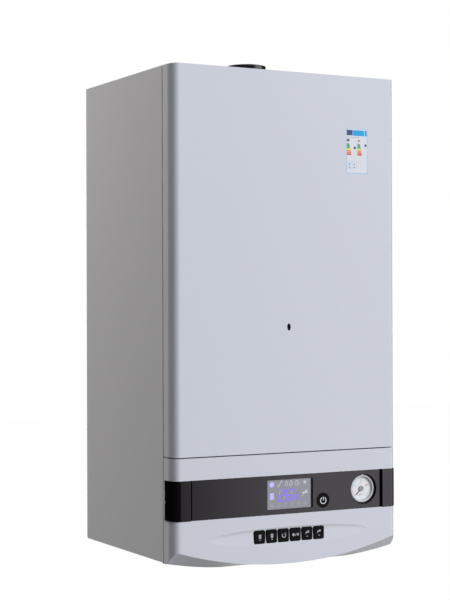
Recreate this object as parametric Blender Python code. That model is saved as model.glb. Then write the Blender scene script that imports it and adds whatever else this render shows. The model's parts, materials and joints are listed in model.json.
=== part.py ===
# Wall-mounted gas boiler with a pull-off front cover and a swing-down control panel.
# Case coordinates: X to the viewer's right, Y into the wall (the wall plane is Y = 0), Z up from the lower
# edge of the side panels. The empty case_frame puts the row's origin on the rear face of the back panel,
# midway between its two hanging slots. All lengths are in metres.
import math

import bmesh
import bpy
from mathutils import Vector

for old in list(bpy.data.objects):
    bpy.data.objects.remove(old, do_unlink=True)

# Overall sizes
CASE_WIDTH = 0.396
CASE_HEIGHT = 0.740
CASE_DEPTH = 0.320
COVER_DEPTH = 0.0345
HANG_DROP = 0.060

# Clearances that many pieces share
SEAT_GAP = 0.0003
SEAM_GAP = 0.0007
OVERRUN = 0.004
SHEET = 0.0012

# Facets of round pieces
ROUND_STEPS = 24
SMALL_STEPS = 12
PIPE_STEPS = 18
CORNER_STEPS = 8
SMOOTH_ANGLE = math.radians(35)

# Casing panels
PANEL_FLANGE = 0.008
BOTTOM_RISE = 0.030
BOTTOM_SETBACK = 0.0475
FOOT_RADIUS = 0.004
SLOT_PITCH = 0.220
SLOT_WIDTH = 0.012
SLOT_HEIGHT = 0.026

# Front cover
COVER_WALL = 0.0012
COVER_BOTTOM = 0.1577
PANEL_GAP = 0.0015
CORNER_ACROSS = 0.0100
CORNER_BACK = 0.0160
SIGHT_RISE = 0.049
SIGHT_HALF_WIDTH = 0.0030
SIGHT_HALF_HEIGHT = 0.0055
SIGHT_RIM = 0.0030
SIGHT_THICKNESS = 0.0030

# Flue spigot and air intake cover
FLUE_RADIUS = 0.032
FLUE_WALL = 0.0015
FLUE_RISE = 0.0248
FLUE_SETBACK = 0.187
FLUE_TAIL = 0.0468
FLUE_FLANGE = 0.016
FLUE_FLANGE_THICKNESS = 0.002
INTAKE_EDGE = 0.014
INTAKE_RADIUS = 0.038
INTAKE_HOLE_RADIUS = 0.032
INTAKE_THICKNESS = 0.003

# Control fascia
FASCIA_WALL = 0.003
FASCIA_DROP = 0.0115
FRONT_EDGE_RISE = 0.0272
REAR_EDGE_SETBACK = 0.020
REAR_EDGE_RUN = 0.068
EDGE_STATIONS = 24
FRONT_EDGE_POWER = 2.3
REAR_EDGE_POWER = 1.4
LENS_STEPS = 12
LENS_INSET = 0.057
LENS_HALF_HEIGHT = 0.0128
LENS_DEPTH = 0.0012

# Black band round the fascia
BAND_LOW = 0.0638
BAND_TALL = 0.0597
BAND_END_REACH = 0.0284
BAND_PROUD = 0.0012
CAP_SKIN = 0.0009
CAP_LIP = 0.0027
CAP_REAR_SETBACK = 0.0068
STRIP_THICKNESS = 0.004
STRIP_LAP = 0.003

# Display
DISPLAY_INSET = 0.19475
DISPLAY_WIDTH = 0.0803
DISPLAY_LOW = 0.0706
DISPLAY_TALL = 0.0459
DISPLAY_RIM = 0.003
DISPLAY_GLASS = 0.0012
DISPLAY_RECESS = 0.0022
DISPLAY_DEPTH = 0.0080

# Power button and keys
BUTTON_TRAVEL = 0.0012
BUTTON_RADIUS = 0.0112
BUTTON_INSET = 0.1361
BUTTON_Z = 0.0805
BUTTON_PROUD = 0.0008
BUTTON_FLANGE = 0.0018
FLANGE_THICKNESS = 0.0012
BUTTON_STEM = 0.0028
KEY_COUNT = 6
KEY_PITCH = 0.0209
KEY_ROW_X = -0.0005
KEY_WIDTH = 0.0188
KEY_TALL = 0.0200
KEY_Z = 0.0318
KEY_PROUD = 0.0024
KEY_FLANGE = 0.0008
KEY_STEM = 0.0060
KEY_EDGE = 0.0010
BUTTON_CLEARANCE = 0.0003

# Pressure gauge
GAUGE_INSET = 0.0611
GAUGE_Z = 0.0936
GAUGE_HOLE_RADIUS = 0.0238
GAUGE_RECESS = 0.0035
GAUGE_COLLAR = 0.0042
GAUGE_COLLAR_DEPTH = 0.0024
GAUGE_WALL = 0.0013
GAUGE_DEPTH = 0.0220
BEZEL_WIDTH = 0.0034
BEZEL_THICKNESS = 0.0010
LENS_THICKNESS = 0.0008
DIAL_SETBACK = 0.0022
DIAL_THICKNESS = 0.0010
NEEDLE_LENGTH = 0.0150
NEEDLE_TAIL = 0.0050
NEEDLE_WIDTH = 0.0014
NEEDLE_THICKNESS = 0.0007
NEEDLE_HUB = 0.0030
NEEDLE_REST = math.radians(225)
PIN_RADIUS = 0.0008
NEEDLE_PIN_PLAY = 0.0002

# Control box, board and hinge
BOX_INSET = 0.018
BOX_BOTTOM = 0.0185
BOX_TOP = 0.150
BOX_REAR_SETBACK = 0.0405
BOX_WALL = 0.002
BOARD_INSET = 0.098
BOARD_THICKNESS = 0.0016
BOARD_MARGIN = 0.004
SWITCH_SIZE = 0.006
POST_RADIUS = 0.004
HINGE_SETBACK = 0.0235
HINGE_PIN_RADIUS = 0.0025
HINGE_PIN_PLAY = 0.0004
LUG_THICKNESS = 0.004
LUG_RADIUS = 0.006
BRACKET_THICKNESS = 0.002
BRACKET_PLAY = 0.003
BRACKET_RISE = 0.028
BRACKET_REACH = 0.027
PIN_HEAD_RADIUS = 0.0042
PIN_HEAD = 0.0015

# Connection pipes
OUTER_PIPE_INSET = 0.068
PIPE_SETBACK = 0.115
PIPE_DROP = 0.020
PIPE_COLLAR = 0.005
PIPE_COLLAR_THICKNESS = 0.004
HEATING_PIPE_RADIUS = 0.0132
WATER_PIPE_RADIUS = 0.0105
PIPE_WALL = 0.0025
PIPE_BORE_DEPTH = 0.040
PANEL_HOLE_PLAY = 0.0015
THREAD_RELIEF = 0.0012
THREAD_LENGTH = 0.015

# Water side
BLOCK_RISE = 0.055
BLOCK_TALL = 0.040
BLOCK_INNER = 0.040
BLOCK_INSET = 0.043
BLOCK_FRONT = 0.145
BLOCK_BACK = 0.040
PLATE_STACK_INSET = 0.098
PLATE_STACK_TALL = 0.065
PLATE_STACK_FRONT = 0.088
PLATE_COUNT = 9
PLATE_GROOVE = 0.0015
DIVERTER_RADIUS = 0.016
DIVERTER_TALL = 0.050
DIVERTER_INSET = 0.073
PUMP_INSET = 0.086
PUMP_RADIUS = 0.042
PUMP_WALL = 0.004
PUMP_DEPTH = 0.034
PUMP_FOOT = 0.016
MOTOR_RADIUS = 0.036
MOTOR_DEPTH = 0.060
MOTOR_FLANGE = 0.003
SHAFT_RADIUS = 0.004
SHAFT_PLAY = 0.0004
IMPELLER_RADIUS = 0.030
IMPELLER_DEPTH = 0.012
IMPELLER_HUB = 0.009
IMPELLER_BLADES = 6
BLADE_THICKNESS = 0.002
VENT_RADIUS = 0.009
VENT_TALL = 0.040
VENT_CAP = 0.006
RELIEF_RADIUS = 0.011
RELIEF_LENGTH = 0.026
RELIEF_X = 0.085
KNOB_RADIUS = 0.013
KNOB_LENGTH = 0.012
KNOB_FLUTES = 8
KNOB_FLUTE = 0.0015
KNOB_FLUTE_SHARES = ((0, 0), (0.5, 0), (0.65, KNOB_FLUTE), (0.85, KNOB_FLUTE))
SPINDLE_RADIUS = 0.003
SPINDLE_LENGTH = 0.006
SPINDLE_PLAY = 0.0003
FILL_SPINDLE_RADIUS = 0.004
FILL_SETBACK = 0.075
FILL_KNOB_LENGTH = 0.030
FILL_KNOB_DROP = 0.006
FILL_ENGAGE = 0.012
HEADER_DEPTH = 0.008
HEADER_HALF = 0.015
PUMP_BOSS = 0.004
PUMP_SETBACK = 0.004
IMPELLER_SETBACK = 0.006
WATER_TUBE_RADIUS = 0.008
WATER_TUBE_BEND = 0.020
TUBE_SIDE_CLEARANCE = 0.004

# Gas side
GAS_BODY_HALF = 0.034
GAS_BODY_TALL = 0.060
GAS_BODY_FRONT = 0.165
GAS_BODY_BACK = 0.095
GAS_BODY_DROP = 0.115
COIL_RADIUS = 0.015
COIL_LENGTH = 0.030
COIL_SPACING = 0.032
GAS_TUBE_RADIUS = 0.007
GAS_TUBE_BEND = 0.012
GAS_TUBE_RISE = 0.022

# Combustion stack
CHAMBER_INSET = 0.066
CHAMBER_BACK = 0.070
CHAMBER_FRONT = 0.222
CHAMBER_WALL = 0.0015
BURNER_SHARE = 0.405405
BURNER_TALL = 0.045
BURNER_BARS = 12
BAR_WIDTH = 0.006
BURNER_RAIL = 0.004
CHAMBER_SHARE = 0.654762
STAY_REACH = 0.020
STAY_THICKNESS = 0.002
EXCHANGER_TALL = 0.065
EXCHANGER_FINS = 16
FIN_THICKNESS = 0.003
HOOD_MOUTH_HALF = 0.040
GROOVE_DEPTH = 0.057
BURNER_INSET = 0.004
STAY_TALL = 0.050
MANIFOLD_SETBACK = 0.004
MANIFOLD_SIZE = 0.018
MANIFOLD_LIFT = 0.006
NOZZLE_RADIUS = 0.003
ELECTRODE_X = 0.040
ELECTRODE_RISE = 0.020
ELECTRODE_RADIUS = 0.004
ELECTRODE_LENGTH = 0.065
ELECTRODE_OUT = 0.025
ELECTRODE_COLLAR = 0.003

# Fan
FAN_RADIUS = 0.050
FAN_DEPTH = 0.064
FAN_WALL = 0.002
FAN_FOOT_THICKNESS = 0.003
FAN_NECK_RADIUS = 0.0315
FAN_NECK_RISE = 0.012
FAN_FOOT_HALF = 0.046
FAN_INLET_HALF = 0.018
FAN_MOTOR_RADIUS = 0.028
FAN_MOTOR_DEPTH = 0.042
WHEEL_RADIUS = 0.040
WHEEL_DEPTH = 0.044
WHEEL_BLADES = 12
WHEEL_BLADE_REACH = 0.010
WHEEL_SETBACK = 0.005
WHEEL_DISC = 0.002

# Expansion vessel, pressure switch
VESSEL_INSET = 0.052
VESSEL_DEPTH = 0.048
VESSEL_EDGE = 0.018
VESSEL_DROP = 0.280
VESSEL_RIM = 0.003
VESSEL_WALL = 0.0015
VESSEL_PORT_RADIUS = 0.006
SWITCH_RADIUS = 0.028
SWITCH_DEPTH = 0.022
SWITCH_SETBACK = 0.200
SWITCH_DROP = 0.130
NIPPLE_RADIUS = 0.003
NIPPLE_LENGTH = 0.010

# Colours, roughness and metallic values of the finishes
FINISHES = {
    "cover_paint": ((0.600, 0.615, 0.660), 0.38, 0.0),
    "case_paint": ((0.580, 0.575, 0.585), 0.42, 0.0),
    "panel_plastic": ((0.600, 0.615, 0.660), 0.42, 0.0),
    "flue_enamel": ((0.020, 0.020, 0.022), 0.25, 0.0),
    "black_gloss": ((0.030, 0.028, 0.032), 0.22, 0.0),
    "black_plastic": ((0.012, 0.012, 0.013), 0.40, 0.0),
    "smoked_glass": ((0.230, 0.230, 0.270), 0.12, 0.0),
    "clear_glass": ((0.900, 0.920, 0.930), 0.05, 0.0),
    "dial_white": ((0.850, 0.850, 0.850), 0.50, 0.0),
    "steel": ((0.560, 0.570, 0.580), 0.35, 1.0),
    "galvanised": ((0.480, 0.490, 0.500), 0.50, 1.0),
    "cast_aluminium": ((0.600, 0.610, 0.620), 0.45, 1.0),
    "copper": ((0.720, 0.350, 0.200), 0.32, 1.0),
    "brass": ((0.720, 0.550, 0.280), 0.30, 1.0),
    "red_steel": ((0.500, 0.040, 0.030), 0.45, 0.0),
    "grey_plastic": ((0.180, 0.185, 0.190), 0.50, 0.0),
    "green_board": ((0.030, 0.200, 0.080), 0.45, 0.0),
    "ceramic": ((0.850, 0.820, 0.760), 0.40, 0.0),
    "blue_plastic": ((0.030, 0.100, 0.420), 0.45, 0.0),
    "red_plastic": ((0.600, 0.030, 0.020), 0.40, 0.0),
}

# Levels and planes that several pieces share, worked out from the sizes above
SIDE_DEPTH = CASE_DEPTH - COVER_DEPTH
HANG_HEIGHT = CASE_HEIGHT - HANG_DROP
HALF_WIDTH = CASE_WIDTH / 2
INNER_HALF = HALF_WIDTH - SHEET - SEAT_GAP
BACK_Y = -(SHEET + SEAT_GAP)
COVER_REAR_Y = -(SIDE_DEPTH + SEAM_GAP)
FRONT_Y = -CASE_DEPTH
FASCIA_TOP = COVER_BOTTOM - PANEL_GAP
FASCIA_BACK_Y = FRONT_Y + FASCIA_WALL
TOP_UNDER_Z = CASE_HEIGHT - SHEET
FLUE_Y = -FLUE_SETBACK
FLANGE_RADIUS = FLUE_RADIUS + FLUE_FLANGE
INTAKE_X = (FLANGE_RADIUS + HALF_WIDTH - INTAKE_EDGE) / 2
BAND_HIGH = BAND_LOW + BAND_TALL
BAND_SPLIT = HALF_WIDTH - BAND_END_REACH
WINDOW_HALF = BAND_SPLIT + CAP_LIP + SEAT_GAP
DISPLAY_X = HALF_WIDTH - DISPLAY_INSET
BUTTON_X = HALF_WIDTH - BUTTON_INSET
GAUGE_X = HALF_WIDTH - GAUGE_INSET
STRIP_FRONT_Y = FASCIA_BACK_Y + SEAT_GAP
STRIP_BACK_Y = STRIP_FRONT_Y + STRIP_THICKNESS
BEHIND_STRIP_Y = STRIP_BACK_Y + SEAT_GAP
GLASS_BACK_Y = BEHIND_STRIP_Y + DISPLAY_GLASS
MODULE_FRONT_Y = GLASS_BACK_Y + SEAT_GAP
BOARD_FRONT_Y = MODULE_FRONT_Y + DISPLAY_DEPTH
BOARD_BACK_Y = BOARD_FRONT_Y + BOARD_THICKNESS
BOX_HALF_WIDTH = HALF_WIDTH - BOX_INSET
BOARD_HALF_WIDTH = HALF_WIDTH - BOARD_INSET
BOX_BACK_Y = -(SIDE_DEPTH - BOX_REAR_SETBACK)
HINGE_Y = -(SIDE_DEPTH - HINGE_SETBACK)
OUTER_PIPE_X = HALF_WIDTH - OUTER_PIPE_INSET
INNER_PIPE_X = OUTER_PIPE_X / 2
PIPE_Y = -PIPE_SETBACK
FILL_X = (INNER_PIPE_X + OUTER_PIPE_X) / 2
BOTTOM_TOP_Z = BOTTOM_RISE + SHEET
BURNER_BOTTOM = CASE_HEIGHT * BURNER_SHARE
SIGHT_Z = BURNER_BOTTOM + SIGHT_RISE

case_frame = bpy.data.objects.new("case_frame", None)
case_frame.location = (0, 0, -HANG_HEIGHT)
bpy.context.collection.objects.link(case_frame)


# Modelling helpers

def add_object(name, bm, origin=(0, 0, 0)):
    """Make an object from a closed bmesh that is given in case coordinates."""
    bmesh.ops.recalc_face_normals(bm, faces=bm.faces)
    bmesh.ops.translate(bm, verts=bm.verts, vec=-Vector(origin))
    mesh = bpy.data.meshes.new(name)
    bm.to_mesh(mesh)
    bm.free()
    mesh.shade_smooth()
    mesh.set_sharp_from_angle(angle=SMOOTH_ANGLE)
    item = bpy.data.objects.new(name, mesh)
    item.location = origin
    item.parent = case_frame
    bpy.context.collection.objects.link(item)
    return item


def hide_tool(item):
    """Mark an object as a cutter or as a shape that another object takes in."""
    item.hide_render = True
    item.display_type = "WIRE"
    return item


def combine(target, shape, operation):
    """Apply a closed bmesh, or an object made for this, to the target with a Boolean modifier."""
    if isinstance(shape, bmesh.types.BMesh):
        shape = add_object(target.name + "_tool", shape)
    tool = hide_tool(shape)
    step = target.modifiers.new(operation.lower(), "BOOLEAN")
    step.operation = operation
    step.solver = "EXACT"
    step.object = tool
    return target


def cut(target, *shapes):
    for shape in shapes:
        combine(target, shape, "DIFFERENCE")
    return target


def join(target, *shapes):
    for shape in shapes:
        combine(target, shape, "UNION")
    return target


def finish(item, finish_name):
    """Give an object a Principled material of its own."""
    colour, roughness, metallic = FINISHES[finish_name]
    paint = bpy.data.materials.new(item.name + "_finish")
    paint.use_nodes = True
    shader = paint.node_tree.nodes["Principled BSDF"]
    shader.inputs["Base Color"].default_value = (*colour, 1)
    shader.inputs["Roughness"].default_value = roughness
    shader.inputs["Metallic"].default_value = metallic
    item.data.materials.append(paint)
    return item


def lift(axis, first, second, along):
    """Put two plane coordinates and one along the axis into X, Y, Z order."""
    return {
        "X": (along, first, second),
        "Y": (first, along, second),
        "Z": (first, second, along),
    }[axis]


def gathered(shapes):
    """Put several closed bmeshes that don't touch into one, to be used as a single tool."""
    whole = bmesh.new()
    for shape in shapes:
        placed = {corner: whole.verts.new(corner.co) for corner in shape.verts}
        for face in shape.faces:
            whole.faces.new([placed[corner] for corner in face.verts])
        shape.free()
    return whole


def extruded(outline, low, high, axis):
    """A prism: a closed outline of two coordinates, drawn out along the axis."""
    bm = bmesh.new()
    face = bm.faces.new([bm.verts.new(lift(axis, u, v, low)) for u, v in outline])
    grown = bmesh.ops.extrude_face_region(bm, geom=[face])
    moved = [part for part in grown["geom"] if isinstance(part, bmesh.types.BMVert)]
    bmesh.ops.translate(bm, verts=moved, vec=lift(axis, 0, 0, high - low))
    return bm


def block(x, y, z):
    """A box from its low and high ends along X, Y and Z."""
    outline = [(x[0], y[0]), (x[1], y[0]), (x[1], y[1]), (x[0], y[1])]
    return extruded(outline, z[0], z[1], "Z")


def turned(profile, centre, axis, steps=ROUND_STEPS):
    """Turn a closed profile of (radius, distance along the axis) about an axis through centre."""
    plane = {"X": (1, 2, 0), "Y": (0, 2, 1), "Z": (0, 1, 2)}[axis]
    bm = bmesh.new()
    rings = []
    for radius, along in profile:
        ring = []
        for step in range(steps if radius else 1):
            turn = math.tau * step / steps
            place = lift(
                axis,
                centre[plane[0]] + radius * math.cos(turn),
                centre[plane[1]] + radius * math.sin(turn),
                centre[plane[2]] + along,
            )
            ring.append(bm.verts.new(place))
        rings.append(ring)
    for first, second in zip(rings, rings[1:] + rings[:1]):
        for step in range(steps):
            following = step + 1
            corners = [
                first[step % len(first)],
                first[following % len(first)],
                second[following % len(second)],
                second[step % len(second)],
            ]
            corners = list(dict.fromkeys(corners))
            if len(corners) > 2:
                bm.faces.new(corners)
    return bm


def rod(radius, low, high, centre, axis, steps=ROUND_STEPS):
    """A plain cylinder between two distances along its axis from centre."""
    return turned([(0, low), (radius, low), (radius, high), (0, high)], centre, axis, steps)


def pipe(outer, inner, low, high, centre, axis, steps=ROUND_STEPS):
    """A straight tube, open at both ends."""
    return turned([(outer, low), (outer, high), (inner, high), (inner, low)], centre, axis, steps)


def ellipse(across, tall, steps=ROUND_STEPS, centre=(0, 0)):
    """Outline of an ellipse given by its half axes."""
    return [
        (
            centre[0] + across * math.cos(math.tau * step / steps),
            centre[1] + tall * math.sin(math.tau * step / steps),
        )
        for step in range(steps)
    ]


def lofted(sections):
    """A closed solid through sections that have the same number of points each."""
    bm = bmesh.new()
    rings = [[bm.verts.new(point) for point in section] for section in sections]
    bm.faces.new(rings[0])
    bm.faces.new(rings[-1])
    for first, second in zip(rings, rings[1:]):
        for index, corner in enumerate(first):
            following = (index + 1) % len(first)
            bm.faces.new([corner, first[following], second[following], second[index]])
    return bm


def rounded_route(corners, bend, steps=6):
    """Points of a route with each corner replaced by an arc of the bend radius."""
    corners = [Vector(corner) for corner in corners]
    route = [corners[0]]
    for before, corner, after in zip(corners, corners[1:], corners[2:]):
        inward = (before - corner).normalized()
        outward = (after - corner).normalized()
        half_angle = inward.angle(outward) / 2
        reach = bend / math.tan(half_angle)
        centre = corner + (inward + outward).normalized() * (bend / math.sin(half_angle))
        start = (corner + inward * reach - centre).normalized()
        end = (corner + outward * reach - centre).normalized()
        for step in range(steps + 1):
            route.append(centre + start.slerp(end, step / steps) * bend)
    route.append(corners[-1])
    return route


def bent_tube(name, corners, radius, bend):
    """A round tube along a route, as a curve with a bevel and filled caps."""
    route = rounded_route(corners, bend)
    curve = bpy.data.curves.new(name, "CURVE")
    curve.dimensions = "3D"
    curve.bevel_depth = radius
    curve.bevel_resolution = 2
    curve.resolution_u = 1
    curve.render_resolution_u = 0
    curve.use_fill_caps = True
    spline = curve.splines.new("POLY")
    spline.points.add(len(route) - 1)
    for point, place in zip(spline.points, route):
        point.co = (*place, 1)
    item = bpy.data.objects.new(name, curve)
    item.parent = case_frame
    bpy.context.collection.objects.link(item)
    return item


# Casing

def build_back_panel():
    panel = add_object("back_panel", block(
        (-INNER_HALF, INNER_HALF), (-SHEET, 0), (BOTTOM_RISE, CASE_HEIGHT - SHEET - SEAT_GAP)
    ))
    for side in (-1, 1):
        middle = side * SLOT_PITCH / 2
        cut(panel, block(
            (middle - SLOT_WIDTH / 2, middle + SLOT_WIDTH / 2),
            (-SHEET - OVERRUN, OVERRUN),
            (HANG_HEIGHT - SLOT_HEIGHT / 2, HANG_HEIGHT + SLOT_HEIGHT / 2),
        ))
    finish(panel, "galvanised")


def build_side_panel(name, side):
    """A flat side sheet with its front edge folded inwards."""
    outer, inner = side * HALF_WIDTH, side * (HALF_WIDTH - SHEET)
    fold = side * (HALF_WIDTH - SHEET - PANEL_FLANGE)
    front = -SIDE_DEPTH
    sheet = add_object(name, extruded(
        [
            (outer, 0), (outer, front), (fold, front),
            (fold, front + SHEET), (inner, front + SHEET), (inner, 0),
        ],
        0, CASE_HEIGHT, "Z",
    ))
    foot = [(OVERRUN, -OVERRUN), (OVERRUN, FOOT_RADIUS)]
    for step in range(CORNER_STEPS + 1):
        turn = math.pi / 2 * step / CORNER_STEPS
        foot.append((FOOT_RADIUS * (math.cos(turn) - 1), FOOT_RADIUS * (1 - math.sin(turn))))
    foot.append((-FOOT_RADIUS, -OVERRUN))
    cut(sheet, extruded(foot, -HALF_WIDTH - OVERRUN, HALF_WIDTH + OVERRUN, "X"))
    finish(sheet, "case_paint")


def build_top_panel():
    panel = add_object("top_panel", extruded(
        [
            (BACK_Y + SEAT_GAP, CASE_HEIGHT),
            (-SIDE_DEPTH, CASE_HEIGHT),
            (-SIDE_DEPTH, TOP_UNDER_Z - PANEL_FLANGE),
            (-SIDE_DEPTH + SHEET, TOP_UNDER_Z - PANEL_FLANGE),
            (-SIDE_DEPTH + SHEET, TOP_UNDER_Z),
            (BACK_Y + SEAT_GAP, TOP_UNDER_Z),
        ],
        -(INNER_HALF - PANEL_FLANGE - SEAT_GAP), INNER_HALF - PANEL_FLANGE - SEAT_GAP, "X",
    ))
    for side in (-1, 1):
        edge = (
            side * (INNER_HALF - PANEL_FLANGE - SEAT_GAP - OVERRUN),
            side * INNER_HALF,
        )
        depth = (-SIDE_DEPTH + SHEET + SEAT_GAP, BACK_Y + SEAT_GAP)
        join(panel, block(edge, depth, (TOP_UNDER_Z, CASE_HEIGHT)))
    low, high = TOP_UNDER_Z - OVERRUN, CASE_HEIGHT + OVERRUN
    cut(
        panel,
        rod(FLUE_RADIUS + SEAT_GAP, low, high, (0, FLUE_Y, 0), "Z"),
        rod(INTAKE_HOLE_RADIUS, low, high, (INTAKE_X, FLUE_Y, 0), "Z"),
    )
    finish(panel, "case_paint")


def pipe_places():
    """Name, X place and outer radius of each connection pipe, from left to right."""
    return [
        ("flow_connection", -OUTER_PIPE_X, HEATING_PIPE_RADIUS),
        ("hot_water_connection", -INNER_PIPE_X, WATER_PIPE_RADIUS),
        ("gas_connection", 0, HEATING_PIPE_RADIUS),
        ("cold_water_connection", INNER_PIPE_X, WATER_PIPE_RADIUS),
        ("return_connection", OUTER_PIPE_X, HEATING_PIPE_RADIUS),
    ]


def build_bottom_panel():
    panel = add_object("bottom_panel", block(
        (-INNER_HALF, INNER_HALF), (-(SIDE_DEPTH - BOTTOM_SETBACK), BACK_Y), (BOTTOM_RISE, BOTTOM_TOP_Z)
    ))
    low, high = BOTTOM_RISE - OVERRUN, BOTTOM_TOP_Z + OVERRUN
    for _, x, radius in pipe_places():
        cut(panel, rod(radius + PANEL_HOLE_PLAY, low, high, (x, PIPE_Y, 0), "Z"))
    cut(panel, rod(FILL_SPINDLE_RADIUS + PANEL_HOLE_PLAY, low, high, (FILL_X, -FILL_SETBACK, 0), "Z"))
    finish(panel, "case_paint")


def corner_arc(grow):
    """Right front corner in plan, from the side return to the front plane, grown outwards."""
    across, back = CORNER_ACROSS + grow, CORNER_BACK + grow
    middle_x, middle_y = HALF_WIDTH - CORNER_ACROSS, FRONT_Y + CORNER_BACK
    arc = []
    for step in range(CORNER_STEPS + 1):
        turn = math.pi / 2 * step / CORNER_STEPS
        arc.append((middle_x + across * math.cos(turn), middle_y - back * math.sin(turn)))
    return arc


def front_outline(grow, rear):
    """Plan outline of the front shell: straight returns and rounded front corners, grown outwards."""
    right = corner_arc(grow)
    left = [(-x, y) for x, y in reversed(right)]
    return [(HALF_WIDTH + grow, rear)] + right + left + [(-HALF_WIDTH - grow, rear)]


def build_front_cover():
    cover = add_object("front_cover", extruded(
        front_outline(0, COVER_REAR_Y), COVER_BOTTOM, CASE_HEIGHT, "Z"
    ))
    cut(cover, extruded(
        front_outline(-COVER_WALL, COVER_REAR_Y + OVERRUN),
        COVER_BOTTOM + COVER_WALL, CASE_HEIGHT - COVER_WALL, "Z",
    ))
    cut(cover, extruded(
        ellipse(SIGHT_HALF_WIDTH, SIGHT_HALF_HEIGHT, centre=(0, SIGHT_Z)),
        FRONT_Y - OVERRUN, FRONT_Y + OVERRUN, "Y",
    ))
    finish(cover, "cover_paint")
    pane_front = FRONT_Y + COVER_WALL + SEAT_GAP
    pane = add_object("sight_glass", extruded(
        ellipse(SIGHT_HALF_WIDTH + SIGHT_RIM, SIGHT_HALF_HEIGHT + SIGHT_RIM, centre=(0, SIGHT_Z)),
        pane_front, pane_front + SIGHT_THICKNESS, "Y",
    ))
    finish(pane, "smoked_glass")


def build_flue():
    seat = CASE_HEIGHT + SEAT_GAP
    bottom = fan_top() + SEAT_GAP
    inner = FLUE_RADIUS - FLUE_WALL
    spigot = add_object("flue_spigot", pipe(
        FLUE_RADIUS, inner, bottom, CASE_HEIGHT + FLUE_RISE, (0, FLUE_Y, 0), "Z", 2 * ROUND_STEPS
    ))
    finish(spigot, "flue_enamel")
    flange = add_object("flue_flange", pipe(
        FLANGE_RADIUS, FLUE_RADIUS + SEAT_GAP, seat, seat + FLUE_FLANGE_THICKNESS,
        (0, FLUE_Y, 0), "Z", 2 * ROUND_STEPS,
    ))
    finish(flange, "flue_enamel")
    plate = add_object("air_intake_cover", rod(
        INTAKE_RADIUS, seat, seat + INTAKE_THICKNESS, (INTAKE_X, FLUE_Y, 0), "Z"
    ))
    join(plate, rod(
        INTAKE_HOLE_RADIUS - SEAT_GAP, seat - INTAKE_THICKNESS, seat + INTAKE_THICKNESS / 2,
        (INTAKE_X, FLUE_Y, 0), "Z",
    ))
    finish(plate, "case_paint")


# Control panel

def front_edge_height(x):
    """Height of the fascia's lower edge in the front plane, an arc that rises to the corners."""
    reach = abs(x) / (HALF_WIDTH - CORNER_ACROSS)
    return FRONT_EDGE_RISE * reach ** FRONT_EDGE_POWER - FASCIA_DROP


def rear_edge_height(x):
    """Height of the lower edge behind the chamfer: level in the middle, rising to the case's edge."""
    reach = max(0, abs(x) - (HALF_WIDTH - REAR_EDGE_RUN)) / REAR_EDGE_RUN
    return FASCIA_DROP * (reach ** REAR_EDGE_POWER - 1)


def below_fascia(rise):
    """All that lies under the fascia's lower surface, raised by a wall thickness for the inside."""
    front, edge, rear = FRONT_Y - OVERRUN, FRONT_Y + REAR_EDGE_SETBACK, COVER_REAR_Y + 2 * OVERRUN
    floor = -FASCIA_DROP - 3 * OVERRUN
    limit = HALF_WIDTH + OVERRUN
    sections = []
    for station in range(EDGE_STATIONS + 1):
        x = limit * (2 * station / EDGE_STATIONS - 1)
        low = rear_edge_height(x) + rise
        slope = (front_edge_height(x) + rise - low) / REAR_EDGE_SETBACK
        high = low + slope * (edge - front)
        profile = [(front, floor), (front, high), (edge, low), (rear, low), (rear, floor)]
        sections.append([(x, y, z) for y, z in profile])
    bm = lofted(sections)
    bmesh.ops.triangulate(bm, faces=bm.faces)
    return bm


def lens_outline():
    """Outline of the pointed recess round the keys: two equal arcs."""
    half_length = HALF_WIDTH - LENS_INSET
    radius = (half_length ** 2 + LENS_HALF_HEIGHT ** 2) / (2 * LENS_HALF_HEIGHT)
    half_turn = math.asin(half_length / radius)
    outline = []
    for side in (1, -1):
        for step in range(LENS_STEPS):
            turn = half_turn * (2 * step / LENS_STEPS - 1)
            height = radius * math.cos(turn) - (radius - LENS_HALF_HEIGHT)
            outline.append((side * radius * math.sin(turn), KEY_Z + side * height))
    return outline


def key_places():
    return [KEY_ROW_X + KEY_PITCH * (index - (KEY_COUNT - 1) / 2) for index in range(KEY_COUNT)]


def build_fascia():
    fascia = add_object("control_fascia", extruded(
        front_outline(0, COVER_REAR_Y), -FASCIA_DROP - OVERRUN, FASCIA_TOP, "Z"
    ))
    cut(fascia, below_fascia(0))
    hollow = add_object("fascia_hollow", extruded(
        front_outline(-FASCIA_WALL, COVER_REAR_Y + OVERRUN),
        -FASCIA_DROP - OVERRUN, FASCIA_TOP - FASCIA_WALL, "Z",
    ))
    cut(hollow, below_fascia(FASCIA_WALL))
    cut(fascia, hollow)
    cut(fascia, block(
        (-WINDOW_HALF, WINDOW_HALF), (FRONT_Y - OVERRUN, FASCIA_BACK_Y + OVERRUN), (BAND_LOW, BAND_HIGH)
    ))
    cut(fascia, extruded(lens_outline(), FRONT_Y - OVERRUN, FRONT_Y + LENS_DEPTH, "Y"))
    half_x, half_z = KEY_WIDTH / 2 + BUTTON_CLEARANCE, KEY_TALL / 2 + BUTTON_CLEARANCE
    holes = [
        block(
            (x - half_x, x + half_x),
            (FRONT_Y - OVERRUN, FASCIA_BACK_Y + OVERRUN),
            (KEY_Z - half_z, KEY_Z + half_z),
        )
        for x in key_places()
    ]
    cut(fascia, gathered(holes))
    finish(fascia, "panel_plastic")


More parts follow.
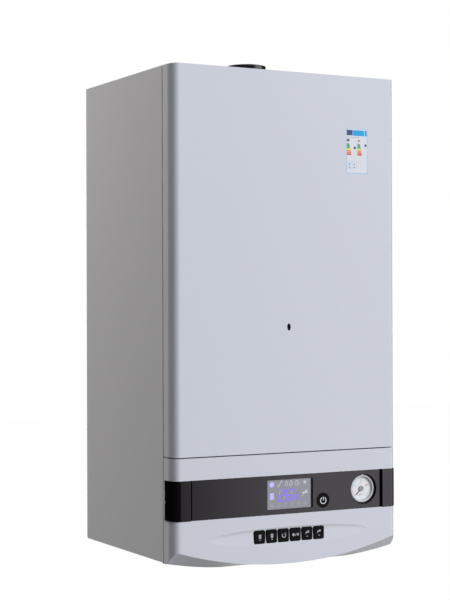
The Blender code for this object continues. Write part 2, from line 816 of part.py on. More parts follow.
def build_band():
    strip = add_object("band_centre", block(
        (-WINDOW_HALF - STRIP_LAP, WINDOW_HALF + STRIP_LAP),
        (STRIP_FRONT_Y, STRIP_BACK_Y),
        (BAND_LOW - STRIP_LAP, BAND_HIGH + STRIP_LAP),
    ))
    low, high = STRIP_FRONT_Y - OVERRUN, STRIP_BACK_Y + OVERRUN
    cut(
        strip,
        block(
            (DISPLAY_X - DISPLAY_WIDTH / 2, DISPLAY_X + DISPLAY_WIDTH / 2),
            (low, high), (DISPLAY_LOW, DISPLAY_LOW + DISPLAY_TALL),
        ),
        rod(BUTTON_RADIUS + BUTTON_CLEARANCE, low, high, (BUTTON_X, 0, BUTTON_Z), "Y"),
        rod(GAUGE_HOLE_RADIUS, low, high, (GAUGE_X, 0, GAUGE_Z), "Y", 2 * ROUND_STEPS),
    )
    finish(strip, "black_gloss")
    cap_rear = COVER_REAR_Y - CAP_REAR_SETBACK
    under = BAND_PROUD - CAP_SKIN
    lip_back = STRIP_FRONT_Y - SEAT_GAP
    outline = [(HALF_WIDTH + BAND_PROUD, cap_rear)] + corner_arc(BAND_PROUD)
    outline += [(BAND_SPLIT, FRONT_Y - BAND_PROUD), (BAND_SPLIT, lip_back)]
    outline += [(BAND_SPLIT + CAP_LIP, lip_back), (BAND_SPLIT + CAP_LIP, FRONT_Y - under)]
    outline += corner_arc(under)[::-1] + [(HALF_WIDTH + under, cap_rear)]
    for name, side in (("band_end_left", -1), ("band_end_right", 1)):
        cap = add_object(name, extruded([(side * x, y) for x, y in outline], BAND_LOW, BAND_HIGH, "Z"))
        finish(cap, "black_gloss")


def display_block(front, back):
    """A box as wide and tall as the display window and its rim."""
    return block(
        (DISPLAY_X - DISPLAY_WIDTH / 2 - DISPLAY_RIM, DISPLAY_X + DISPLAY_WIDTH / 2 + DISPLAY_RIM),
        (front, back),
        (DISPLAY_LOW - DISPLAY_RIM, DISPLAY_LOW + DISPLAY_TALL + DISPLAY_RIM),
    )


def build_display():
    """Pane behind the strip, with a raised field that nearly fills the window."""
    pane = add_object("display_glass", display_block(BEHIND_STRIP_Y, GLASS_BACK_Y))
    half_width = DISPLAY_WIDTH / 2 - SEAT_GAP
    join(pane, block(
        (DISPLAY_X - half_width, DISPLAY_X + half_width),
        (STRIP_FRONT_Y + DISPLAY_RECESS, GLASS_BACK_Y),
        (DISPLAY_LOW + SEAT_GAP, DISPLAY_LOW + DISPLAY_TALL - SEAT_GAP),
    ))
    finish(pane, "smoked_glass")


def rectangle(x, z, half_x, half_z, y):
    return [(x - half_x, y, z - half_z), (x + half_x, y, z - half_z),
            (x + half_x, y, z + half_z), (x - half_x, y, z + half_z)]


def key_stem_end():
    return STRIP_FRONT_Y + FLANGE_THICKNESS + KEY_STEM


def button_stem_end():
    return BEHIND_STRIP_Y + FLANGE_THICKNESS + BUTTON_STEM


def build_keys():
    """Push keys, each with a flange behind the fascia and a stem towards its switch."""
    front = FRONT_Y + LENS_DEPTH - KEY_PROUD
    flange = STRIP_FRONT_Y
    half_x, half_z = KEY_WIDTH / 2, KEY_TALL / 2
    stem = SWITCH_SIZE / 2
    steps = [
        (front, -KEY_EDGE),
        (front + KEY_EDGE / 2, 0),
        (flange, 0),
        (flange, KEY_FLANGE),
        (flange + FLANGE_THICKNESS, KEY_FLANGE),
    ]
    for index, x in enumerate(key_places()):
        sections = [rectangle(x, KEY_Z, half_x + grow, half_z + grow, y) for y, grow in steps]
        sections.append(rectangle(x, KEY_Z, stem, stem, flange + FLANGE_THICKNESS))
        sections.append(rectangle(x, KEY_Z, stem, stem, key_stem_end()))
        key = add_object(f"key_{index + 1}", lofted(sections), (x, front, KEY_Z))
        finish(key, "black_plastic")


def build_power_button():
    front = STRIP_FRONT_Y - BUTTON_PROUD
    flange_back = BEHIND_STRIP_Y + FLANGE_THICKNESS
    stem = SWITCH_SIZE / 2
    button = add_object("power_button", turned(
        [
            (0, front),
            (BUTTON_RADIUS - KEY_EDGE, front),
            (BUTTON_RADIUS, front + KEY_EDGE / 2),
            (BUTTON_RADIUS, BEHIND_STRIP_Y),
            (BUTTON_RADIUS + BUTTON_FLANGE, BEHIND_STRIP_Y),
            (BUTTON_RADIUS + BUTTON_FLANGE, flange_back),
            (stem, flange_back),
            (stem, button_stem_end()),
            (0, button_stem_end()),
        ],
        (BUTTON_X, 0, BUTTON_Z), "Y",
    ), (BUTTON_X, front, BUTTON_Z))
    finish(button, "black_plastic")


def build_gauge():
    """Pressure gauge: cup with a collar behind the strip, bezel ring, lens, needle and dial."""
    centre = (GAUGE_X, 0, GAUGE_Z)
    collar_back = BEHIND_STRIP_Y + GAUGE_COLLAR_DEPTH
    bezel_front = STRIP_FRONT_Y + GAUGE_RECESS
    cup_inner = GAUGE_HOLE_RADIUS
    cup_outer = cup_inner + GAUGE_WALL
    cup_back = BEHIND_STRIP_Y + GAUGE_DEPTH
    case = add_object("gauge_case", turned(
        [
            (cup_inner, BEHIND_STRIP_Y),
            (cup_inner + GAUGE_COLLAR, BEHIND_STRIP_Y),
            (cup_inner + GAUGE_COLLAR, collar_back),
            (cup_outer, collar_back),
            (cup_outer, cup_back),
            (0, cup_back),
            (0, cup_back - GAUGE_WALL),
            (cup_inner, cup_back - GAUGE_WALL),
        ],
        centre, "Y",
    ))
    fit_radius = cup_inner - 2 * SEAT_GAP
    bezel_back = bezel_front + BEZEL_THICKNESS
    finish(case, "black_plastic")
    bezel = add_object("gauge_bezel", pipe(
        fit_radius, cup_inner - BEZEL_WIDTH, bezel_front, bezel_back, centre, "Y"
    ))
    finish(bezel, "grey_plastic")
    lens_front = bezel_back + SEAT_GAP
    lens_back = lens_front + LENS_THICKNESS
    finish(add_object("gauge_lens", rod(fit_radius, lens_front, lens_back, centre, "Y")), "clear_glass")
    dial_front = lens_back + DIAL_SETBACK
    dial_back = dial_front + DIAL_THICKNESS
    needle_back = dial_front - NEEDLE_THICKNESS
    needle_front = needle_back - NEEDLE_THICKNESS
    pin_front = needle_front - SEAT_GAP
    boss_back = cup_back - GAUGE_WALL - SEAT_GAP
    dial = add_object("gauge_dial", turned(
        [
            (0, pin_front), (PIN_RADIUS, pin_front), (PIN_RADIUS, dial_front), (fit_radius, dial_front),
            (fit_radius, dial_back), (NEEDLE_HUB, dial_back), (NEEDLE_HUB, boss_back), (0, boss_back),
        ],
        centre, "Y",
    ))
    finish(dial, "dial_white")
    across = (math.sin(NEEDLE_REST), math.cos(NEEDLE_REST))
    side = (across[1], -across[0])

    def along(distance, width):
        return (
            GAUGE_X + across[0] * distance + side[0] * width,
            GAUGE_Z + across[1] * distance + side[1] * width,
        )

    outline = [
        along(-NEEDLE_TAIL, NEEDLE_WIDTH), along(-NEEDLE_TAIL, -NEEDLE_WIDTH),
        along(NEEDLE_LENGTH, -NEEDLE_WIDTH / 4), along(NEEDLE_LENGTH, NEEDLE_WIDTH / 4),
    ]
    pointer = extruded(outline, needle_front, needle_back, "Y")
    needle = add_object("gauge_needle", pointer, (GAUGE_X, needle_front, GAUGE_Z))
    join(needle, rod(NEEDLE_HUB, needle_front, needle_back, centre, "Y", SMALL_STEPS))
    cut(needle, rod(
        PIN_RADIUS + NEEDLE_PIN_PLAY, needle_front - OVERRUN, needle_back + OVERRUN, centre, "Y", SMALL_STEPS
    ))
    finish(needle, "black_plastic")


def build_control_box():
    """Tray behind the fascia with posts for the board and lugs for the hinge pins."""
    front = STRIP_FRONT_Y
    tray = add_object("control_box", block(
        (-BOX_HALF_WIDTH, BOX_HALF_WIDTH), (front, BOX_BACK_Y), (BOX_BOTTOM, BOX_TOP)
    ))
    inner = BOX_HALF_WIDTH - BOX_WALL
    cut(tray, block(
        (-inner, inner), (front - OVERRUN, BOX_BACK_Y - BOX_WALL), (BOX_BOTTOM + BOX_WALL, BOX_TOP - BOX_WALL)
    ))
    board_low = BOX_BOTTOM + BOX_WALL + BOARD_MARGIN
    board_high = BOX_TOP - BOX_WALL - BOARD_MARGIN
    for side in (-1, 1):
        for height in (board_low + 2 * POST_RADIUS, board_high - 2 * POST_RADIUS):
            join(tray, rod(
                POST_RADIUS, BOARD_BACK_Y + SEAT_GAP, BOX_BACK_Y - BOX_WALL / 2,
                (side * (BOARD_HALF_WIDTH - 2 * POST_RADIUS), 0, height), "Y", SMALL_STEPS,
            ))
        join(tray, block(
            (side * (BOX_HALF_WIDTH - LUG_THICKNESS), side * (BOX_HALF_WIDTH - BOX_WALL / 2)),
            (HINGE_Y - LUG_RADIUS, HINGE_Y + LUG_RADIUS),
            (-LUG_RADIUS, BOX_BOTTOM + BOX_WALL / 2),
        ))
    cut(tray, rod(
        HINGE_PIN_RADIUS + HINGE_PIN_PLAY, -BOX_HALF_WIDTH - OVERRUN, BOX_HALF_WIDTH + OVERRUN,
        (0, HINGE_Y, 0), "X", SMALL_STEPS,
    ))
    finish(tray, "grey_plastic")
    board = add_object("control_board", block(
        (-BOARD_HALF_WIDTH, BOARD_HALF_WIDTH), (BOARD_FRONT_Y, BOARD_BACK_Y), (board_low, board_high)
    ))
    half = SWITCH_SIZE / 2
    switches = [(x, KEY_Z, key_stem_end()) for x in key_places()]
    switches.append((BUTTON_X, BUTTON_Z, button_stem_end()))
    mounted = [display_block(MODULE_FRONT_Y, BOARD_FRONT_Y + BOARD_THICKNESS / 2)]
    for x, z, stem_end in switches:
        top = stem_end + BUTTON_TRAVEL + SEAT_GAP
        depth = (top, BOARD_FRONT_Y + BOARD_THICKNESS / 2)
        mounted.append(block((x - half, x + half), depth, (z - half, z + half)))
    join(board, gathered(mounted))
    finish(board, "green_board")


def build_hinge(name_end, side):
    """Fixed bracket on the side panel, with the headed pin that the control box turns on."""
    ear_in = BOX_HALF_WIDTH + BRACKET_PLAY
    ear_out = ear_in + BRACKET_THICKNESS
    wall_out = INNER_HALF
    wall_in = wall_out - BRACKET_THICKNESS
    front, back = HINGE_Y - LUG_RADIUS, HINGE_Y + BRACKET_REACH
    web = back - BRACKET_THICKNESS
    channel = [
        (ear_in, front), (ear_out, front), (ear_out, web), (wall_in, web),
        (wall_in, front), (wall_out, front), (wall_out, back), (ear_in, back),
    ]
    bracket = add_object("hinge_bracket_" + name_end, extruded(
        [(side * x, y) for x, y in channel], SEAT_GAP, BRACKET_RISE, "Z"
    ))
    join(bracket, block(
        (side * ear_in, side * ear_out), (front, HINGE_Y + LUG_RADIUS), (-LUG_RADIUS, BRACKET_RISE / 2)
    ))
    shoulder = BOX_HALF_WIDTH - LUG_THICKNESS - SEAT_GAP
    join(bracket, turned(
        [
            (0, side * (shoulder - PIN_HEAD)),
            (PIN_HEAD_RADIUS, side * (shoulder - PIN_HEAD)),
            (PIN_HEAD_RADIUS, side * shoulder),
            (HINGE_PIN_RADIUS, side * shoulder),
            (HINGE_PIN_RADIUS, side * (ear_out - BRACKET_THICKNESS / 2)),
            (0, side * (ear_out - BRACKET_THICKNESS / 2)),
        ],
        (0, HINGE_Y, 0), "X", SMALL_STEPS,
    ))
    finish(bracket, "galvanised")


# Connection pipes and the water side

BLOCK_OUTER = HALF_WIDTH - BLOCK_INSET
PLATE_STACK_HALF = HALF_WIDTH - PLATE_STACK_INSET
DIVERTER_X = HALF_WIDTH - DIVERTER_INSET
PUMP_X = HALF_WIDTH - PUMP_INSET
BLOCK_TOP_Z = BLOCK_RISE + BLOCK_TALL
ON_BLOCK_Z = BLOCK_TOP_Z + SEAT_GAP
BLOCK_MIDDLE_Z = BLOCK_RISE + BLOCK_TALL / 2
PUMP_Z = ON_BLOCK_Z + PUMP_FOOT + PUMP_RADIUS
PUMP_BACK_Y = -(PLATE_STACK_FRONT + PUMP_SETBACK)
PUMP_FRONT_Y = PUMP_BACK_Y - PUMP_DEPTH
PUMP_MIDDLE_Y = (PUMP_BACK_Y + PUMP_FRONT_Y) / 2
SIDE_TUBE_X = INNER_HALF - TUBE_SIDE_CLEARANCE - WATER_TUBE_RADIUS
CHAMBER_HALF = HALF_WIDTH - CHAMBER_INSET
STAY_HALF = CHAMBER_HALF + STAY_REACH
FAN_Z = CASE_HEIGHT - FLUE_TAIL - FAN_NECK_RISE - FAN_RADIUS
FAN_BOTTOM = FAN_Z - FAN_RADIUS + FAN_WALL / 2 - FAN_FOOT_THICKNESS
CHAMBER_BOTTOM = BURNER_BOTTOM + BURNER_TALL + SEAT_GAP
FREE_RISE = FAN_BOTTOM - CHAMBER_BOTTOM - EXCHANGER_TALL - 3 * SEAT_GAP
CHAMBER_TALL = FREE_RISE * CHAMBER_SHARE
HOOD_TALL = FREE_RISE - CHAMBER_TALL
GAS_BODY_BOTTOM = BURNER_BOTTOM - GAS_BODY_DROP
EXCHANGER_BOTTOM = CHAMBER_BOTTOM + CHAMBER_TALL + SEAT_GAP
EXCHANGER_MIDDLE_Z = EXCHANGER_BOTTOM + EXCHANGER_TALL / 2
HEADER_X = CHAMBER_HALF + HEADER_DEPTH
HOOD_BOTTOM = EXCHANGER_BOTTOM + EXCHANGER_TALL + SEAT_GAP
FAN_FRONT_Y = FLUE_Y - FAN_DEPTH / 2
FAN_BACK_Y = FLUE_Y + FAN_DEPTH / 2


def fan_top():
    return FAN_Z + FAN_RADIUS + FAN_NECK_RISE


def build_connections():
    """Pipe stubs with a collar on the bottom panel, a relief groove over the thread and a blind bore."""
    collar_low = BOTTOM_TOP_Z + SEAT_GAP
    collar_high = collar_low + PIPE_COLLAR_THICKNESS
    groove = THREAD_LENGTH - PIPE_DROP
    for name, x, radius in pipe_places():
        top = (GAS_BODY_BOTTOM if name == "gas_connection" else BLOCK_RISE) - SEAT_GAP
        bore = radius - PIPE_WALL
        stub = add_object(name, turned(
            [
                (bore, -PIPE_DROP),
                (radius, -PIPE_DROP),
                (radius, groove),
                (radius - THREAD_RELIEF, groove),
                (radius - THREAD_RELIEF, groove + 2 * THREAD_RELIEF),
                (radius, groove + 2 * THREAD_RELIEF),
                (radius, collar_low),
                (radius + PIPE_COLLAR, collar_low),
                (radius + PIPE_COLLAR, collar_high),
                (radius, collar_high),
                (radius, top),
                (0, top),
                (0, PIPE_BORE_DEPTH - PIPE_DROP),
                (bore, PIPE_BORE_DEPTH - PIPE_DROP),
            ],
            (x, PIPE_Y, 0), "Z", PIPE_STEPS,
        ))
        finish(stub, "brass")


def comb(low, high, base, top, count, groove, depth):
    """Outline of a bar whose top edge has evenly spaced grooves."""
    outline = [(low, base), (high, base), (high, top)]
    pitch = (high - low) / count
    for index in range(count - 1, 0, -1):
        middle = low + pitch * index
        outline += [
            (middle + groove / 2, top), (middle + groove / 2, top - depth),
            (middle - groove / 2, top - depth), (middle - groove / 2, top),
        ]
    return outline + [(low, top)]


def build_water_blocks():
    for name, side in (("diverter_block", -1), ("return_block", 1)):
        body = add_object(name, block(
            (side * BLOCK_INNER, side * BLOCK_OUTER), (-BLOCK_FRONT, -BLOCK_BACK), (BLOCK_RISE, BLOCK_TOP_Z)
        ))
        if side > 0:
            valve_end = -(BLOCK_FRONT + RELIEF_LENGTH)
            spindle_end = valve_end - SPINDLE_LENGTH
            centre = (RELIEF_X, 0, BLOCK_MIDDLE_Z)
            join(
                body,
                turned(
                    [
                        (0, -BLOCK_FRONT + OVERRUN), (RELIEF_RADIUS, -BLOCK_FRONT + OVERRUN),
                        (RELIEF_RADIUS, valve_end), (SPINDLE_RADIUS, valve_end),
                        (SPINDLE_RADIUS, spindle_end), (0, spindle_end),
                    ],
                    centre, "Y", SMALL_STEPS,
                ),
                rod(
                    FILL_SPINDLE_RADIUS, fill_knob_top() - FILL_ENGAGE, BLOCK_RISE + OVERRUN,
                    (FILL_X, -FILL_SETBACK, 0), "Z", SMALL_STEPS,
                ),
            )
        finish(body, "black_plastic")
    stack = add_object("plate_heat_exchanger", extruded(
        comb(
            -PLATE_STACK_FRONT, -BLOCK_BACK, ON_BLOCK_Z, ON_BLOCK_Z + PLATE_STACK_TALL,
            PLATE_COUNT, PLATE_GROOVE, PLATE_GROOVE,
        ),
        -PLATE_STACK_HALF, PLATE_STACK_HALF, "X",
    ))
    finish(stack, "steel")
    motor = add_object("diverter_motor", turned(
        [
            (0, ON_BLOCK_Z),
            (DIVERTER_RADIUS, ON_BLOCK_Z),
            (DIVERTER_RADIUS, ON_BLOCK_Z + DIVERTER_TALL - KNOB_FLUTE),
            (DIVERTER_RADIUS - KNOB_FLUTE, ON_BLOCK_Z + DIVERTER_TALL),
            (0, ON_BLOCK_Z + DIVERTER_TALL),
        ],
        (-DIVERTER_X, PIPE_Y, 0), "Z",
    ))
    finish(motor, "black_plastic")


def fluted_outline(centre):
    """Outline of a knob with shallow flutes round its rim."""
    outline = []
    for flute in range(KNOB_FLUTES):
        for share, depth in KNOB_FLUTE_SHARES:
            radius = KNOB_RADIUS - depth
            turn = math.tau * (flute + share) / KNOB_FLUTES
            outline.append((centre[0] + radius * math.cos(turn), centre[1] + radius * math.sin(turn)))
    return outline


def fill_knob_top():
    return FILL_KNOB_LENGTH - FILL_KNOB_DROP


def build_knobs():
    """Turning knobs of the safety valve and the filling valve, each bored over its spindle."""
    back = -(BLOCK_FRONT + RELIEF_LENGTH) - SEAT_GAP
    front = back - KNOB_LENGTH
    relief = add_object("relief_knob", extruded(
        fluted_outline((RELIEF_X, BLOCK_MIDDLE_Z)), front, back, "Y"
    ), (RELIEF_X, back, BLOCK_MIDDLE_Z))
    cut(relief, rod(
        SPINDLE_RADIUS + SPINDLE_PLAY, back - SPINDLE_LENGTH - SEAT_GAP, back + OVERRUN,
        (RELIEF_X, 0, BLOCK_MIDDLE_Z), "Y", SMALL_STEPS,
    ))
    finish(relief, "red_plastic")
    top = fill_knob_top()
    filling = add_object("filling_knob", extruded(
        fluted_outline((FILL_X, -FILL_SETBACK)), -FILL_KNOB_DROP, top, "Z"
    ), (FILL_X, -FILL_SETBACK, top))
    cut(filling, rod(
        FILL_SPINDLE_RADIUS + SPINDLE_PLAY, top - FILL_ENGAGE - SEAT_GAP, top + OVERRUN,
        (FILL_X, -FILL_SETBACK, 0), "Z", SMALL_STEPS,
    ))
    finish(filling, "blue_plastic")


def bladed(count, inner, outer, thickness, centre, low, high):
    """Straight radial blades about an axis along Y, as one tool."""
    blades = []
    for index in range(count):
        turn = math.tau * (index + 0.5) / count
        out = (math.cos(turn), math.sin(turn))
        side = (-out[1] * thickness / 2, out[0] * thickness / 2)
        outline = [
            (centre[0] + out[0] * reach + sign * side[0], centre[1] + out[1] * reach + sign * side[1])
            for reach, sign in ((inner, -1), (outer, -1), (outer, 1), (inner, 1))
        ]
        blades.append(extruded(outline, low, high, "Y"))
    return gathered(blades)


def build_pump():
    centre = (PUMP_X, 0, PUMP_Z)
    body = add_object("pump_body", rod(PUMP_RADIUS, PUMP_FRONT_Y, PUMP_BACK_Y, centre, "Y"))
    join(
        body,
        rod(PUMP_FOOT, ON_BLOCK_Z, PUMP_Z, (PUMP_X, PUMP_MIDDLE_Y, 0), "Z", SMALL_STEPS),
        rod(
            WATER_TUBE_RADIUS + PUMP_BOSS, 0, PUMP_RADIUS + PUMP_BOSS,
            (PUMP_X, PUMP_MIDDLE_Y, PUMP_Z), "X", SMALL_STEPS,
        ),
        turned(
            [
                (0, 0), (VENT_RADIUS, 0), (VENT_RADIUS, PUMP_RADIUS + VENT_TALL - VENT_CAP),
                (VENT_RADIUS / 2, PUMP_RADIUS + VENT_TALL - VENT_CAP),
                (VENT_RADIUS / 2, PUMP_RADIUS + VENT_TALL), (0, PUMP_RADIUS + VENT_TALL),
            ],
            (PUMP_X, PUMP_MIDDLE_Y, PUMP_Z), "Z", SMALL_STEPS,
        ),
    )
    cut(body, rod(
        PUMP_RADIUS - PUMP_WALL, PUMP_FRONT_Y - OVERRUN, PUMP_BACK_Y - PUMP_WALL, centre, "Y"
    ))
    finish(body, "brass")
    wheel_front = PUMP_FRONT_Y + IMPELLER_SETBACK
    wheel_back = wheel_front + IMPELLER_DEPTH
    seat = PUMP_FRONT_Y - SEAT_GAP
    flange = seat - MOTOR_FLANGE
    motor = add_object("pump_motor", turned(
        [
            (0, flange - MOTOR_DEPTH), (MOTOR_RADIUS, flange - MOTOR_DEPTH), (MOTOR_RADIUS, flange),
            (PUMP_RADIUS, flange), (PUMP_RADIUS, seat), (SHAFT_RADIUS, seat),
            (SHAFT_RADIUS, wheel_back), (0, wheel_back),
        ],
        centre, "Y",
    ))
    finish(motor, "cast_aluminium")
    hole = SHAFT_RADIUS + SHAFT_PLAY
    impeller = add_object("pump_impeller", turned(
        [
            (hole, wheel_front), (IMPELLER_HUB, wheel_front), (IMPELLER_HUB, wheel_back - BLADE_THICKNESS),
            (IMPELLER_RADIUS, wheel_back - BLADE_THICKNESS), (IMPELLER_RADIUS, wheel_back),
            (hole, wheel_back),
        ],
        centre, "Y",
    ), (PUMP_X, wheel_front, PUMP_Z))
    join(impeller, bladed(
        IMPELLER_BLADES, (IMPELLER_HUB + hole) / 2, IMPELLER_RADIUS - BLADE_THICKNESS, BLADE_THICKNESS,
        (PUMP_X, PUMP_Z), wheel_front + BLADE_THICKNESS, wheel_back - BLADE_THICKNESS / 2,
    ))
    finish(impeller, "grey_plastic")


def build_water_tubes():
    start = HEADER_X + SEAT_GAP
    flow = bent_tube("flow_pipe", [
        (-start, PIPE_Y, EXCHANGER_MIDDLE_Z),
        (-SIDE_TUBE_X, PIPE_Y, EXCHANGER_MIDDLE_Z),
        (-SIDE_TUBE_X, PIPE_Y, BLOCK_MIDDLE_Z),
        (-(BLOCK_OUTER + SEAT_GAP), PIPE_Y, BLOCK_MIDDLE_Z),
    ], WATER_TUBE_RADIUS, WATER_TUBE_BEND)
    finish(flow, "copper")
    back = bent_tube("return_pipe", [
        (start, PIPE_Y, EXCHANGER_MIDDLE_Z),
        (SIDE_TUBE_X, PIPE_Y, EXCHANGER_MIDDLE_Z),
        (SIDE_TUBE_X, PUMP_MIDDLE_Y, PUMP_Z),
        (PUMP_X + PUMP_RADIUS + PUMP_BOSS + SEAT_GAP, PUMP_MIDDLE_Y, PUMP_Z),
    ], WATER_TUBE_RADIUS, WATER_TUBE_BEND)
    finish(back, "copper")


# Gas side and combustion stack

MANIFOLD_BACK_Y = -(CHAMBER_FRONT + MANIFOLD_SETBACK)
MANIFOLD_Y = MANIFOLD_BACK_Y - MANIFOLD_SIZE / 2
MANIFOLD_BOTTOM = BURNER_BOTTOM + MANIFOLD_LIFT
MANIFOLD_Z = MANIFOLD_BOTTOM + MANIFOLD_SIZE / 2


def build_gas_line():
    top = GAS_BODY_BOTTOM + GAS_BODY_TALL
    middle = GAS_BODY_BOTTOM + GAS_BODY_TALL / 2
    valve = add_object("gas_valve", block(
        (-GAS_BODY_HALF, GAS_BODY_HALF), (-GAS_BODY_FRONT, -GAS_BODY_BACK), (GAS_BODY_BOTTOM, top)
    ))
    coils = [
        rod(
            COIL_RADIUS, -GAS_BODY_FRONT - COIL_LENGTH, -GAS_BODY_FRONT + OVERRUN,
            (side * COIL_SPACING / 2, 0, middle), "Y",
        )
        for side in (-1, 1)
    ]
    join(valve, gathered(coils))
    finish(valve, "cast_aluminium")
    gas_y = -(GAS_BODY_FRONT + GAS_BODY_BACK) / 2
    tube_top = top + SEAT_GAP
    gas_pipe = bent_tube("gas_pipe", [
        (0, gas_y, tube_top),
        (0, gas_y, tube_top + GAS_TUBE_RISE),
        (0, MANIFOLD_Y, tube_top + GAS_TUBE_RISE),
        (0, MANIFOLD_Y, MANIFOLD_BOTTOM - SEAT_GAP),
    ], GAS_TUBE_RADIUS, GAS_TUBE_BEND)
    finish(gas_pipe, "copper")
    manifold = add_object("burner_manifold", block(
        (-CHAMBER_HALF, CHAMBER_HALF),
        (MANIFOLD_BACK_Y - MANIFOLD_SIZE, MANIFOLD_BACK_Y),
        (MANIFOLD_BOTTOM, MANIFOLD_BOTTOM + MANIFOLD_SIZE),
    ))
    pitch = 2 * CHAMBER_HALF / BURNER_BARS
    nozzles = [
        rod(
            NOZZLE_RADIUS, MANIFOLD_Y, -(CHAMBER_FRONT - BURNER_INSET) - SEAT_GAP,
            (pitch * (index + 0.5) - CHAMBER_HALF, 0, MANIFOLD_Z), "Y", SMALL_STEPS,
        )
        for index in range(BURNER_BARS)
    ]
    join(manifold, gathered(nozzles))
    finish(manifold, "galvanised")


def build_combustion_stack():
    front, back = -CHAMBER_FRONT, -CHAMBER_BACK
    pitch = 2 * CHAMBER_HALF / BURNER_BARS
    burner = add_object("burner", extruded(
        comb(
            -CHAMBER_HALF, CHAMBER_HALF, BURNER_BOTTOM, BURNER_BOTTOM + BURNER_TALL,
            BURNER_BARS, pitch - BAR_WIDTH, BURNER_TALL - BURNER_RAIL,
        ),
        front + BURNER_INSET, back - BURNER_INSET, "Y",
    ))
    finish(burner, "steel")

    low, high = CHAMBER_BOTTOM, CHAMBER_BOTTOM + CHAMBER_TALL
    middle = (low + high) / 2
    chamber = add_object("combustion_chamber", block(
        (-CHAMBER_HALF, CHAMBER_HALF), (front, back), (low, high)
    ))
    for side in (-1, 1):
        stay = [
            (side * (CHAMBER_HALF - CHAMBER_WALL / 2), back),
            (side * (STAY_HALF - STAY_THICKNESS), back),
            (side * (STAY_HALF - STAY_THICKNESS), BACK_Y),
            (side * STAY_HALF, BACK_Y),
            (side * STAY_HALF, back - STAY_THICKNESS),
            (side * (CHAMBER_HALF - CHAMBER_WALL / 2), back - STAY_THICKNESS),
        ]
        join(chamber, extruded(stay, middle - STAY_TALL / 2, middle + STAY_TALL / 2, "Z"))
    inside = CHAMBER_HALF - CHAMBER_WALL
    cut(chamber, block(
        (-inside, inside), (front + CHAMBER_WALL, back - CHAMBER_WALL), (low - OVERRUN, high + OVERRUN)
    ))
    electrode_z = CHAMBER_BOTTOM + ELECTRODE_RISE
    centre = (ELECTRODE_X, 0, electrode_z)
    cut(chamber, rod(
        ELECTRODE_RADIUS + 2 * SEAT_GAP, front - OVERRUN, front + OVERRUN, centre, "Y", SMALL_STEPS
    ))
    finish(chamber, "galvanised")
    seat = front - SEAT_GAP
    electrode = add_object("ignition_electrode", turned(
        [
            (0, front - ELECTRODE_OUT),
            (ELECTRODE_RADIUS, front - ELECTRODE_OUT),
            (ELECTRODE_RADIUS, seat - ELECTRODE_COLLAR),
            (ELECTRODE_RADIUS + ELECTRODE_COLLAR, seat - ELECTRODE_COLLAR),
            (ELECTRODE_RADIUS + ELECTRODE_COLLAR, seat),
            (ELECTRODE_RADIUS, seat),
            (ELECTRODE_RADIUS, front - ELECTRODE_OUT + ELECTRODE_LENGTH),
            (0, front - ELECTRODE_OUT + ELECTRODE_LENGTH),
        ],
        centre, "Y", SMALL_STEPS,
    ))
    finish(electrode, "ceramic")

    fin_groove = 2 * CHAMBER_HALF / EXCHANGER_FINS - FIN_THICKNESS
    exchanger = add_object("main_heat_exchanger", extruded(
        comb(
            -CHAMBER_HALF, CHAMBER_HALF, EXCHANGER_BOTTOM, EXCHANGER_BOTTOM + EXCHANGER_TALL,
            EXCHANGER_FINS, fin_groove, GROOVE_DEPTH,
        ),
        front, back, "Y",
    ))
    headers = [
        block(
            (side * (CHAMBER_HALF - HEADER_DEPTH), side * HEADER_X),
            (PIPE_Y - HEADER_HALF, PIPE_Y + HEADER_HALF),
            (EXCHANGER_MIDDLE_Z - HEADER_HALF, EXCHANGER_MIDDLE_Z + HEADER_HALF),
        )
        for side in (-1, 1)
    ]
    join(exchanger, gathered(headers))
    finish(exchanger, "copper")

    mouth = HOOD_BOTTOM + HOOD_TALL

    def level(half_x, near, far, z):
        return [(-half_x, near, z), (half_x, near, z), (half_x, far, z), (-half_x, far, z)]

    hood = add_object("fume_hood", lofted([
        level(CHAMBER_HALF, front, back, HOOD_BOTTOM),
        level(HOOD_MOUTH_HALF, FLUE_Y - HOOD_MOUTH_HALF, FLUE_Y + HOOD_MOUTH_HALF, mouth),
    ]))
    near, far, gap = front + CHAMBER_WALL, back - CHAMBER_WALL, HOOD_MOUTH_HALF - CHAMBER_WALL
    cut(hood, lofted([
        level(inside, near, far, HOOD_BOTTOM - OVERRUN),
        level(inside, near, far, HOOD_BOTTOM),
        level(gap, FLUE_Y - gap, FLUE_Y + gap, mouth),
        level(gap, FLUE_Y - gap, FLUE_Y + gap, mouth + OVERRUN),
    ]))
    finish(hood, "galvanised")


